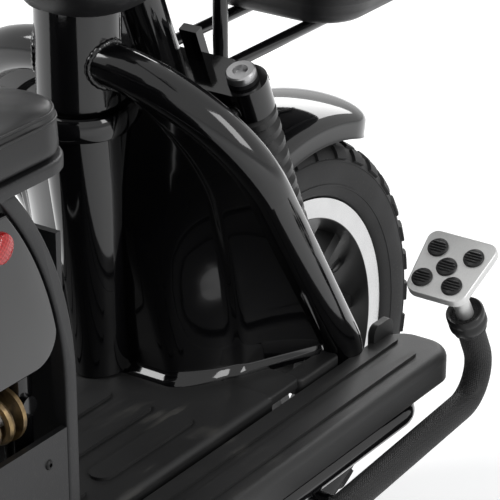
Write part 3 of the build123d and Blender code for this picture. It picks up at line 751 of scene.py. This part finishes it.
# Brake pedal: tapered plate with five ribbed studs on a round post
PEDAL_LEFT = -0.257
PEDAL_PLACE = stand((FRONT_AXLE.x - 0.079, PEDAL_LEFT, 0.408), (-0.525, 0, 0.851), -LEFT)
PAD_FRONT_HALF = 0.0365
PAD_REAR_HALF = 0.0295
PAD_HALF_LENGTH = 0.035
PAD_THICK = 0.0085
PAD_ROUND = 0.011
STUDS = ((0.22, 0.27), (0.77, 0.29), (0.48, 0.52), (0.21, 0.765), (0.715, 0.78))
STUD_HALF = (0.0098, 0.0066)
STUD_RISE = 0.0026
STUD_RIBS = (-0.0044, -0.0015, 0.0015, 0.0044)


def pedal_point(across, down, rise):
    """Point on the plate from its share across and down and its height above the face."""
    half = PAD_FRONT_HALF + (PAD_REAR_HALF - PAD_FRONT_HALF) * down
    return PEDAL_PLACE @ Vector(((2 * across - 1) * half, (1 - 2 * down) * PAD_HALF_LENGTH, PAD_THICK + rise))


def pedal_plate():
    """The plate and its post."""
    shape = bmesh.new()
    corners = [pedal_point(across, down, -PAD_THICK) for across, down in ((0, 0), (1, 0), (1, 1), (0, 1))]
    up = PEDAL_PLACE.to_3x3() @ Vector((0, 0, PAD_THICK))
    raise_face(shape, corners, up)
    uprights = [edge for edge in shape.edges if abs((edge.verts[0].co - edge.verts[1].co).dot(up)) > 1e-6]
    round_edges(shape, uprights, PAD_ROUND, 8)
    bmesh.ops.recalc_face_normals(shape, faces=shape.faces)
    rims = [edge for edge in shape.edges if len(edge.link_faces) == 2 and edge.calc_face_angle() > 1.2]
    round_edges(shape, rims, 0.0012)
    foot = Vector((FRONT_AXLE.x - 0.048, PEDAL_LEFT, 0.351))
    head = PEDAL_PLACE @ Vector((0, 0, 0.001))
    rings(shape, [foot, foot.lerp(head, 0.5), head], [0.0085, 0.0075, 0.0068], LEFT, 20)
    finished("pedal_plate", shape, PAD, "chassis", 40, "pedal_pad")


def pedal_studs():
    """Five oval rubber studs with ribs along them."""
    shape = bmesh.new()
    across_way, up_plate, up = (column.normalized() for column in PEDAL_PLACE.to_3x3().col)
    for across, down in STUDS:
        middle = pedal_point(across, down, 0)
        place = stand(middle, up, across_way) @ Matrix.Diagonal((STUD_HALF[0], STUD_HALF[1], 1, 1))
        turn(shape, [(0, -0.0005), (1, -0.0005), (1, 0.0018), (0.94, 0.0024), (0, STUD_RISE)], place, 32)
        for offset in STUD_RIBS:
            reach = STUD_HALF[0] * math.sqrt(1 - (offset / STUD_HALF[1]) ** 2) - 0.001
            line_middle = middle - up_plate * offset + up * STUD_RISE
            points = [line_middle + across_way * reach * (k / 3 - 1) for k in range(7)]
            rings(shape, points, [0.0007, 0.0011, 0.0012, 0.0012, 0.0012, 0.0011, 0.0007], up, 8)
    finished("pedal_studs", shape, RUBBER, "chassis", 50)


def sleeve_cup():
    """Ribbed cup at the top of the pedal's rubber sleeve."""
    shape = bmesh.new()
    foot = Vector((FRONT_AXLE.x - 0.0405, PEDAL_LEFT, 0.338))
    up = Vector((-0.486, 0, 0.874))
    line = [(0.0095, 0.004), (0.0145, 0.0225), (0.0165, 0.0235), (0.0180, 0.0215), (0.0182, 0.0170),
            (0.0170, 0.0150), (0.0170, 0.0130), (0.0182, 0.0110), (0.0182, 0.0060), (0.0172, 0.0040),
            (0.0150, 0.0)]
    turn(shape, line, stand(foot, up, LEFT), 40, closed=True)
    finished("sleeve_cup", shape, RUBBER, "chassis", 50)


pedal_plate()
pedal_studs()
sleeve_cup()


# Welds where the arch tubes meet the column
COLUMN_X = FRONT_AXLE.x - 0.287
COLUMN_RADIUS = 0.038


def weld_beads():
    """Rippled beads round both tube ends."""
    tube_x, tube_z, tube_radius = FRONT_AXLE.x - 0.2912, 0.6263, 0.0203
    shape = bmesh.new()
    steps = 96
    for side in SIDES:
        points = []
        for k in range(steps):
            angle = 2 * math.pi * k / steps
            x = tube_x + tube_radius * math.cos(angle)
            reach = math.sqrt(COLUMN_RADIUS ** 2 - (x - COLUMN_X) ** 2)
            points.append(Vector((x, side * reach, tube_z + tube_radius * math.sin(angle))))
        radii = [0.0026 + 0.0007 * abs(math.sin(k * math.pi / 4)) for k in range(steps)]
        rings(shape, points, radii, LEFT, 8, closed=True)
    finished("tube_welds", shape, PAINT, "chassis", 60)


weld_beads()


# Fork top caps, bracket bolts and yoke bolts
def fork_fittings():
    """Caps with hexagon sockets, pinch bolts and bracket bolts."""
    caps, bolts = bmesh.new(), bmesh.new()
    cap_line = [(0, 0.0035), (0.006, 0.0035), (0.007, 0.0082), (0.0125, 0.0082), (0.0138, 0.0068),
                (0.0138, 0.0), (0, 0.0)]
    for side in SIDES:
        leg = side * 0.096
        turn(caps, cap_line, stand(along_steer(0, leg, 0.4079), STEER_UP, STEER_FORE), 36)
        for way in (-1, 1):
            hexagon(bolts, along_steer(way * 0.0218, leg, 0.385), STEER_FORE * way, 0.010, LEFT)
        for height in (0.196, 0.228):
            hexagon(bolts, along_steer(0, side * 0.0642, height), LEFT * side, 0.009, STEER_FORE)
    finished("fork_caps", caps, STEEL, "steering")
    finished("fork_bolts", bolts, BOLT, "steering")


fork_fittings()


# Body screws and pivot nut
COVER_SCREWS = (
    # place behind the front axle, height
    (0.655, 0.522), (0.900, 0.522), (1.120, 0.590), (0.900, 0.605),
    (0.575, 0.415), (0.575, 0.335), (0.850, 0.420),
)


def body_fasteners():
    """Round headed screws on the covers and a nut on the pedal's pivot."""
    screws, nuts = bmesh.new(), bmesh.new()
    for side in SIDES:
        for station, height in COVER_SCREWS:
            dome_screw(screws, (FRONT_AXLE.x - station, side * 0.1877, height), LEFT * side, 0.009)
    hexagon(nuts, (FRONT_AXLE.x - 0.255, -0.270, 0.247), -LEFT, 0.015)
    finished("cover_screws", screws, BOLT, "chassis")
    finished("pivot_nut", nuts, BOLT, "chassis")


body_fasteners()


# Grips with ribs, end caps and flanges
BAR_END = Vector((-0.150, 0.320, 0.824))
BAR_RUN = (BAR_END - Vector((-0.024, 0.130, 0.870))).normalized()


def ribbed_grips():
    """Rubber grips turned with fine ribs, in place of the plain sleeves."""
    shape = bmesh.new()
    length, radius = 0.124, 0.0168
    line = [(0.0114, 0), (0.0172, 0), (0.0172, 0.006), (0.0150, 0.008)]
    ribs = 22
    root = radius - 0.0018
    step = (length - 0.022) / ribs
    for k in range(ribs):
        base = 0.010 + step * k
        line += [(root, base), (radius, base + step * 0.25), (radius, base + step * 0.7),
                 (root, base + step * 0.9)]
    line += [(radius, length - 0.010), (radius, length - 0.002), (radius - 0.002, length), (0, length)]
    for side in SIDES:
        start = BAR_END - BAR_RUN * 0.118
        foot = along_steer(start.x, side * start.y, start.z)
        way = STEER_FORE * BAR_RUN.x + LEFT * side * BAR_RUN.y + STEER_UP * BAR_RUN.z
        turn(shape, line, stand(foot, way, STEER_UP), 40)
    finished("ribbed_grips", shape, RUBBER, "steering", 40, "grips")


ribbed_grips()


# Console screen and buttons
def console_face():
    """Display glass and three push buttons."""
    glass, buttons = bmesh.new(), bmesh.new()
    top = along_steer(-0.006, 0, 0.8628)
    slab(glass, stand(top + STEER_FORE * 0.012, STEER_UP, STEER_FORE), 0.058, 0.088, 0.010, 0.0016, 0.0008)
    line = [(0, 0), (0.0085, 0), (0.0085, 0.002), (0.007, 0.0035), (0, 0.0042)]
    for offset in (-0.03, 0, 0.03):
        turn(buttons, line, stand(top - STEER_FORE * 0.038 + LEFT * offset, STEER_UP, STEER_FORE), 28)
    finished("display_glass", glass, SCREEN, "steering")
    finished("console_buttons", buttons, RUBBER, "steering")


console_face()


# Mirror glasses on the rear faces of the mirror heads
def mirror_faces():
    """Slightly domed glasses set into the mirror heads."""
    shape = bmesh.new()
    offsets = [vert.co - STEER_FOOT for vert in NODES["mirrors"].data.vertices]
    depth = min(offset.dot(STEER_FORE) for offset in offsets)
    flat = [offset for offset in offsets if offset.dot(STEER_FORE) < depth + 0.0005]
    for side in SIDES:
        lefts = [offset.y for offset in flat if offset.y * side > 0]
        ups = [offset.dot(STEER_UP) for offset in flat if offset.y * side > 0]
        half_left, half_up = (max(lefts) - min(lefts)) / 2, (max(ups) - min(ups)) / 2
        middle = along_steer(depth, (max(lefts) + min(lefts)) / 2, (max(ups) + min(ups)) / 2)
        place = stand(middle, -STEER_FORE, LEFT) @ Matrix.Diagonal((half_left - 0.004, half_up - 0.004, 1, 1))
        turn(shape, [(0, -0.001), (1, -0.001), (1, 0.0008), (0.97, 0.0014), (0, 0.0022)], place, 48)
    finished("mirror_glasses", shape, MIRROR, "steering")


mirror_faces()


# Lamp rings and bezels
TAIL_LAMP_WIDTH = 0.070


def lamp_trim():
    """Bright ring round the headlamp and dark frames round the tail lamps."""
    ring, frames = bmesh.new(), bmesh.new()
    lens = corners_of("headlamp_lens")[0]
    middle = Vector((lens.x, 0, centre_of("headlamp_lens").z))
    line = [(0.0555, 0), (0.0555, 0.006), (0.0575, 0.0085), (0.0605, 0.0085), (0.0625, 0.006),
            (0.0628, -0.004), (0.0622, -0.004)]
    turn(ring, line, stand(middle, (1, 0, 0), LEFT), 64, closed=True)
    finished("headlamp_ring", ring, STEEL, "steering")
    low, high = corners_of("tail_lamps")
    loop = rounded_loop(high.z - low.z + 0.004, TAIL_LAMP_WIDTH + 0.004, 0.011, 5)
    for side in SIDES:
        middle = Vector((low.x + 0.010, side * (high.y - TAIL_LAMP_WIDTH / 2), (low.z + high.z) / 2))
        place = stand(middle, (-1, 0, 0), (0, 0, 1))
        piping(frames, [place @ point for point in loop], 0.003, (-1, 0, 0))
    finished("tail_lamp_frames", frames, SATIN, "chassis")


lamp_trim()


# Valve stems in the rims
def valves():
    """A rubber stem with a cap on each wheel."""
    angle = math.radians(18)
    way = Vector((math.cos(angle), 0, math.sin(angle)))
    line = [(0, 0.0), (0.0042, 0.0), (0.0042, 0.014), (0.003, 0.016), (0.003, 0.020), (0.004, 0.021),
            (0.004, 0.030), (0.003, 0.031), (0, 0.031)]
    for wheel in WHEELS:
        shape = bmesh.new()
        turn(shape, line, stand(centre_of(wheel + "_tyre") + way * 0.1465, -way, LEFT), 18)
        finished(wheel + "_valve", shape, RUBBER, wheel + "_wheel")


valves()


# Rolled rim of the front basket
def basket_rim():
    """Rolled edge round the basket's top."""
    low, high = corners_of("front_basket")
    loop = rounded_loop(high.x - low.x - 0.004, high.y - low.y - 0.004, 0.048)
    place = Matrix.Translation(((low.x + high.x) / 2, 0, high.z - 0.001))
    shape = bmesh.new()
    piping(shape, [place @ point for point in loop], 0.0045, (0, 0, 1), 10)
    finished("basket_rim", shape, SATIN, "steering", 60)


basket_rim()


# Shells: leg shield, neck cowl, front fender, basket, body covers, seat pan and mat lips
def bend_grid(shape, columns, rows, place):
    """Grid whose points are put in place by a function of two shares from 0 to 1."""
    grid = bmesh.ops.create_grid(shape, x_segments=columns, y_segments=rows, size=0.5)["verts"]
    for vert in grid:
        vert.co = place(vert.co.x + 0.5, vert.co.y + 0.5)


def stepped(value, start, end):
    """Smooth step of a value from 0 at start to 1 at end."""
    share = min(max((value - start) / (end - start), 0), 1)
    return share * share * (3 - 2 * share)


def softer(first, second, reach):
    """The smaller of two lengths, with the corner between them rounded."""
    share = min(max(0.5 + 0.5 * (second - first) / reach, 0), 1)
    return second + (first - second) * share - reach * share * (1 - share)


def between(table, height):
    """Row of a table at one height, taken on straight lines between its rows."""
    for low, high in zip(table, table[1:]):
        if height <= high[0]:
            break
    share = (height - low[0]) / (high[0] - low[0])
    return [a + (b - a) * share for a, b in zip(low[1:], high[1:])]


SHIELD_ROWS = (
    # height, back wall behind the axle, half width of the back wall, side edge behind the axle
    (0.318, 0.257, 0.092, 0.116),
    (0.380, 0.263, 0.085, 0.148),
    (0.450, 0.270, 0.076, 0.190),
    (0.530, 0.280, 0.064, 0.240),
    (0.616, 0.291, 0.050, 0.286),
)
SHIELD_LOW, SHIELD_TOP = 0.318, 0.6115
SHIELD_HALF = 0.150
ARCH_TURN = 0.500
ARCH_INSIDE = 0.132
ARCH_MIDDLE = 0.018
ARCH_SLOPE = 0.848
BORDER = 0.017
TUBE_COVER = 0.015
BORDER_FLANK = 0.009
BORDER_RISE = 0.006
CORNER_REACH = 0.055
FOOT_LIP = 0.013
FOOT_FLARE = 0.009
SHIELD_WALL = 0.004
SPINE = (
    # height, place behind the axle, half depth, half width
    (0.3185, 0.257, 0.038, 0.025),
    (0.36, 0.259, 0.038, 0.026),
    (0.45, 0.271, 0.038, 0.030),
    (0.52, 0.280, 0.038, 0.034),
    (0.574, 0.287, 0.0377, 0.0377),
)


def shield_half(height):
    """Half width of the space between the arch tubes."""
    if height <= ARCH_TURN:
        return SHIELD_HALF
    rise = (height - ARCH_TURN) / ARCH_SLOPE
    return min(SHIELD_HALF, ARCH_MIDDLE + math.sqrt(max(ARCH_INSIDE ** 2 - rise ** 2, 0)))


def shield_point(across, up):
    """Point of the leg shield: flat back wall, round corners, side walls to the tubes, raised border."""
    height = SHIELD_LOW + (SHIELD_TOP - SHIELD_LOW) * up
    half = shield_half(height)
    left = (2 * across - 1) * half
    wall, wall_half, side = between(SHIELD_ROWS, height)
    slope = (wall - side) / (SHIELD_HALF - wall_half)
    depth = softer(wall, wall - (abs(left) - wall_half) * slope, CORNER_REACH)
    border = stepped(half - TUBE_COVER - abs(left), BORDER + BORDER_FLANK, BORDER)
    foot = stepped(height - SHIELD_LOW, FOOT_LIP, 0)
    depth += BORDER_RISE * border + FOOT_FLARE * foot * foot
    return Vector((FRONT_AXLE.x - depth, left, height))


def leg_shield():
    """Moulded shield with its spine and the collar round the column."""
    shape = bmesh.new()
    bend_grid(shape, 110, 90, shield_point)
    bmesh.ops.solidify(shape, geom=list(shape.faces), thickness=SHIELD_WALL)
    loops = []
    for row in SPINE:
        height, station, depth, width = row
        spot = Matrix.Translation((FRONT_AXLE.x - station, 0, height))
        place = spot @ Matrix.Diagonal((depth, width, 1, 1))
        circle = bmesh.ops.create_circle(shape, segments=64, radius=1, matrix=place,
                                         cap_ends=row in (SPINE[0], SPINE[-1]))
        loops.append(loop_edges(circle["verts"]))
    join_loops(shape, loops)
    collar = [(0.0384, 0.560), (0.0384, 0.579), (0.0405, 0.5815), (0.0435, 0.5805), (0.0450, 0.577),
              (0.0450, 0.566), (0.0430, 0.560)]
    turn(shape, collar, Matrix.Translation((COLUMN_X, 0, 0)), 64, closed=True)
    finished("leg_shield_moulding", shape, SHIELD, "chassis", 40, "leg_shield")


def rounded_tower(shape, rows, middle, caps):
    """Joined round cornered loops of (height, place behind the axle, length, width, corner)."""
    loops = []
    for k, (height, station, length, width, corner) in enumerate(rows):
        points = rounded_loop(length, width, corner)
        ring = bmesh.ops.create_circle(shape, segments=len(points), radius=1, cap_ends=k in caps)["verts"]
        for vert, point in zip(ring, points):
            vert.co = Vector((middle - station, 0, height)) + point
        loops.append(loop_edges(ring))
    join_loops(shape, loops)


COWL_ROWS = (
    # height, place behind the axle, length, width, corner
    (0.672, 0.275, 0.090, 0.086, 0.040),
    (0.675, 0.273, 0.104, 0.100, 0.045),
    (0.693, 0.263, 0.144, 0.128, 0.048),
    (0.700, 0.262, 0.148, 0.132, 0.050),
    (0.768, 0.262, 0.140, 0.120, 0.048),
    (0.776, 0.262, 0.134, 0.112, 0.046),
    (0.779, 0.262, 0.118, 0.096, 0.040),
)


def neck_cowl():
    """Plastic cowl round the top of the neck."""
    shape = bmesh.new()
    rounded_tower(shape, COWL_ROWS, FRONT_AXLE.x, (0, len(COWL_ROWS) - 1))
    finished("neck_cowl", shape, SATIN, "chassis", 40)


FENDER_CROWN = TYRE_RADIUS + 0.041
FENDER_SIDE = TYRE_RADIUS + 0.019
FENDER_LIP = TYRE_RADIUS + 0.005
FENDER_HALF = 0.0600
FENDER_WALL = 0.0025
FENDER_START = math.radians(73)
FENDER_SWEEP = math.radians(68)


def fender_line():
    """Half section of the fender from its crown to its rolled lip, as radius and half width."""
    line = []
    for k in range(15):
        angle = k * math.pi / 28
        rise = (FENDER_CROWN - FENDER_SIDE) * math.cos(angle) ** 0.9
        line.append((FENDER_SIDE + rise, FENDER_HALF * math.sin(angle)))
    return line + [(FENDER_LIP + 0.003, FENDER_HALF + 0.0004), (FENDER_LIP, FENDER_HALF + 0.0014)]


def front_fender():
    """Front fender with a round domed nose, in place of the plain guard."""
    shape = bmesh.new()
    out = Vector((math.cos(FENDER_START), 0, math.sin(FENDER_START)))
    line = fender_line()
    for side, axis, angle, steps in ((1, -out, math.pi, 36), (1, -LEFT, FENDER_SWEEP, 40),
                                     (-1, -LEFT, FENDER_SWEEP, 40)):
        verts = [shape.verts.new(FRONT_AXLE + out * radius + LEFT * side * half) for radius, half in line]
        edges = [shape.edges.new(pair) for pair in zip(verts, verts[1:])]
        bmesh.ops.spin(shape, geom=verts + edges, cent=FRONT_AXLE, axis=axis, angle=angle, steps=steps)
    bmesh.ops.remove_doubles(shape, verts=shape.verts, dist=1e-5)
    bmesh.ops.recalc_face_normals(shape, faces=shape.faces)
    bmesh.ops.solidify(shape, geom=list(shape.faces), thickness=FENDER_WALL)
    finished("front_fender_shell", shape, SHIELD, "steering", 40, "front_fender")


BASKET_ROWS = (
    # height above the base, length, width, corner
    (0.000, 0.160, 0.146, 0.036),
    (0.002, 0.172, 0.159, 0.040),
    (0.007, 0.184, 0.173, 0.044),
    (0.015, 0.193, 0.185, 0.047),
    (0.024, 0.199, 0.193, 0.049),
    (0.027, 0.207, 0.202, 0.050),
    (0.100, 0.229, 0.250, 0.050),
    (0.166, 0.249, 0.298, 0.050),
)
BASKET_WALL = 0.004


def basket_bowl():
    """Basket with a round bottom edge and a small ledge, in place of the plain tub."""
    low, high = corners_of("front_basket")
    shape = bmesh.new()
    rows = [(low.z + height, 0, length, width, corner) for height, length, width, corner in BASKET_ROWS]
    rounded_tower(shape, rows, (low.x + high.x) / 2, (0,))
    bmesh.ops.recalc_face_normals(shape, faces=shape.faces)
    bmesh.ops.solidify(shape, geom=list(shape.faces), thickness=BASKET_WALL)
    finished("basket_bowl", shape, SATIN, "steering", 50, "front_basket")


BODY_FRONT = FRONT_AXLE.x - 0.537
BAND_TURN = 0.470
BAND_SWEEP = 0.285
BAND_WIDTH = 0.014
COVER_BEND = 0.026
FLOOR_TOP = 0.321
BODY_SIDE = corners_of("side_bands")[1].y


def body_edge(inset, height):
    """Point on the body's front edge, which is upright and then swept back in one long arc."""
    radius = BAND_SWEEP - inset
    lean = math.asin(max(height - BAND_TURN, 0) / radius)
    return BODY_FRONT - inset - radius * (1 - math.cos(lean)), height


def side_plate(shape, outline, inner, outer, round_over):
    """Upright plate with a rounded outer edge from its outline in X and Z."""
    loop = [(x, inner, z) for x, z in outline]
    round_edges(shape, raise_face(shape, loop, LEFT * (outer - inner)), round_over)


def body_sides():
    """Edge bands and side covers that follow one curve, in place of the plain plates."""
    bands, covers = bmesh.new(), bmesh.new()
    top = PAN_LOW.z - 0.001
    heights = [FLOOR_TOP + (top - FLOOR_TOP) * k / 40 for k in range(41)]
    band = [body_edge(0, z) for z in heights] + [body_edge(BAND_WIDTH, z) for z in reversed(heights)]
    low, high = corners_of("side_covers")
    gap = BAND_WIDTH + 0.0012
    start = low.z + COVER_BEND
    rise = [body_edge(gap, start + (high.z - start) * k / 24) for k in range(25)]
    corner = []
    for k in range(9):
        angle = k * math.pi / 18
        corner.append((rise[0][0] - COVER_BEND * (1 - math.sin(angle)), start - COVER_BEND * math.cos(angle)))
    cover = corner + rise + [(low.x, high.z), (low.x, low.z + 0.04), (low.x + 0.03, low.z)]
    for side in SIDES:
        side_plate(bands, band, side * (BODY_SIDE - BAND_WIDTH), side * BODY_SIDE, 0.0025)
        side_plate(covers, cover, side * (high.y - 0.006), side * (high.y - 0.001), 0.0022)
    finished("body_edge_bands", bands, SATIN, "chassis", 40, "side_bands")
    finished("body_side_covers", covers, SHIELD, "chassis", 40, "side_covers")


def side_lamps():
    """Round red lenses on the side covers."""
    shape = bmesh.new()
    line = [(0, 0), (0.0125, 0), (0.0125, 0.003), (0.0115, 0.005), (0.008, 0.0068), (0, 0.0078)]
    for side in SIDES:
        turn(shape, line, stand((FRONT_AXLE.x - 0.622, side * 0.1885, 0.616), LEFT * side), 40)
    finished("side_lamp_lenses", shape, RED, "chassis", node="side_markers")


COIL_TURNS = 8
COIL_STEPS = 20
DAMPER_RADIUS = 0.009
COIL_RADIUS = 0.0188
WIRE_RADIUS = 0.0042


def coil_springs():
    """Round wire coils with end cups, in place of the plain bellows shapes."""
    shape = bmesh.new()
    low, high = corners_of("springs")
    steps = COIL_TURNS * COIL_STEPS
    cup_rise = 0.004
    cup = [(0.0095, 0), (0.0235, 0), (0.0235, cup_rise), (0.0095, cup_rise)]
    for side in SIDES:
        across = side * (corners_of("dampers")[1].y - DAMPER_RADIUS)
        start = Vector((low.x + 0.007, across, centre_of("springs").z))
        run = Vector((high.x - low.x - 0.014, 0, 0))
        points = []
        for k in range(steps + 1):
            angle = 2 * math.pi * k / COIL_STEPS
            out = Vector((0, math.cos(angle), math.sin(angle)))
            points.append(start + run * (k / steps) + out * COIL_RADIUS)
        rings(shape, points, [WIRE_RADIUS] * len(points), (1, 0, 0), 8)
        for end in (low.x, high.x - cup_rise):
            turn(shape, cup, stand((end, across, start.z), (1, 0, 0), LEFT), 36, closed=True)
    finished("spring_coils", shape, SPRING, "chassis", 40, "springs")


def seat_base():
    """Thin seat pan with small corner rounds, in place of the plain one."""
    shape = bmesh.new()
    place = Matrix.Translation((PAN_MIDDLE.x, 0, PAN_LOW.z))
    slab(shape, place, PAN_SIZE.x, PAN_SIZE.y, SEAT_CORNER + 0.002, PAN_RISE, 0.003)
    finished("seat_base_plate", shape, SATIN, "chassis", 40, "seat_pan")


MAT_LIPS = (
    # place behind the axle, left, underside, then length, width, corner, rise and rounding
    (0.208, 0.1345, 0.308, 0.054, 0.056, 0.008, 0.0088, 0.0025),
    (0.153, 0.1555, 0.300, 0.066, 0.021, 0.006, 0.0160, 0.0025),
)


def mat_lips():
    """Thin front lips of the floor mat beside the shield's foot."""
    shape = bmesh.new()
    for side in SIDES:
        for station, left, low, *sizes in MAT_LIPS:
            slab(shape, Matrix.Translation((FRONT_AXLE.x - station, side * left, low)), *sizes)
    finished("mat_front_lips", shape, MAT, "chassis", 40)


leg_shield()
neck_cowl()
front_fender()
basket_bowl()
body_sides()
side_lamps()
coil_springs()
seat_base()
mat_lips()


# Studio: pale floor, soft lamps and the photograph's camera
BACKGROUND_RAYS = ("Is Camera Ray", "Is Glossy Ray", "Is Transmission Ray")


def studio_floor():
    """A wide pale floor that stays white to the camera and keeps the shadow."""
    shape = bmesh.new()
    bmesh.ops.create_circle(shape, cap_ends=True, segments=96, radius=14)
    mesh = bpy.data.meshes.new("studio_floor")
    shape.to_mesh(mesh)
    shape.free()
    floor = bpy.data.objects.new("studio_floor", mesh)
    bpy.context.scene.collection.objects.link(floor)
    finish = Finish("pale_floor", Roughness=0.9, Specular_IOR_Level=0.1)
    cloud = finish.noise(0.8, 2)
    rays = [finish.add("ShaderNodeLightPath", out=ray) for ray in BACKGROUND_RAYS]
    seen = finish.clamp(rays[0] + rays[1] + rays[2], 0, 1)
    finish.feed(Base_Color=finish.mix(cloud, (0.8, 0.8, 0.8), (0.84, 0.84, 0.84)),
                Emission_Color=finish.mix(seen, (0.0, 0.0, 0.0), (0.45, 0.45, 0.45)))
    finish.shader.inputs["Emission Strength"].default_value = 1
    mesh.materials.append(finish.material)


def studio_world():
    """White behind the object for the camera and a dim even fill for its surfaces."""
    world = bpy.data.worlds.new("studio_world")
    bpy.context.scene.world = world
    world.use_nodes = True
    nodes, links = world.node_tree.nodes, world.node_tree.links
    path = nodes.new("ShaderNodeLightPath")
    fill = nodes["Background"]
    fill.inputs["Color"].default_value = (0.95, 0.97, 1.0, 1)
    fill.inputs["Strength"].default_value = 0.22
    white = nodes.new("ShaderNodeBackground")
    white.inputs["Strength"].default_value = 1
    pick = nodes.new("ShaderNodeMixShader")
    shown = path.outputs[BACKGROUND_RAYS[0]]
    for ray in BACKGROUND_RAYS[1:]:
        either = nodes.new("ShaderNodeMath")
        either.operation = "MAXIMUM"
        links.new(shown, either.inputs[0])
        links.new(path.outputs[ray], either.inputs[1])
        shown = either.outputs[0]
    links.new(shown, pick.inputs[0])
    links.new(fill.outputs[0], pick.inputs[1])
    links.new(white.outputs[0], pick.inputs[2])
    links.new(pick.outputs[0], nodes["World Output"].inputs["Surface"])


def soft_lamp(name, place, aim, size, power):
    """A square soft lamp that points at a place."""
    lamp = bpy.data.lights.new(name, "AREA")
    lamp.shape = "RECTANGLE"
    lamp.size, lamp.size_y = size
    lamp.energy = power
    holder = bpy.data.objects.new(name, lamp)
    holder.location = place
    holder.rotation_euler = (Vector(aim) - Vector(place)).to_track_quat("-Z", "Y").to_euler()
    bpy.context.scene.collection.objects.link(holder)


def photo_camera():
    """The photograph's camera: behind, to the right of and above the front axle."""
    heading, dip = math.radians(34.62), math.radians(24.33)
    focal_pixels, frame_pixels = 2565.5, 500
    data = bpy.data.cameras.new("photo_camera")
    data.sensor_width = 36
    data.lens = data.sensor_width * focal_pixels / frame_pixels
    camera = bpy.data.objects.new("photo_camera", data)
    camera.location = (FRONT_AXLE.x - 1.9172, -1.3049, 1.3831)
    look = Vector((math.cos(heading) * math.cos(dip), math.sin(heading) * math.cos(dip), -math.sin(dip)))
    camera.rotation_euler = look.to_track_quat("-Z", "Y").to_euler()
    bpy.context.scene.collection.objects.link(camera)
    bpy.context.scene.camera = camera


AIM = (0.3, 0, 0.45)
studio_floor()
studio_world()
soft_lamp("key_lamp", (-1.2, 2.0, 3.0), AIM, (2.2, 1.4), 75)
soft_lamp("right_lamp", (0.6, -3.0, 1.7), AIM, (1.2, 1.8), 40)
soft_lamp("front_lamp", (3.2, 0.8, 2.0), AIM, (2.0, 1.6), 45)
photo_camera()
bpy.context.scene.view_settings.view_transform = "Standard"
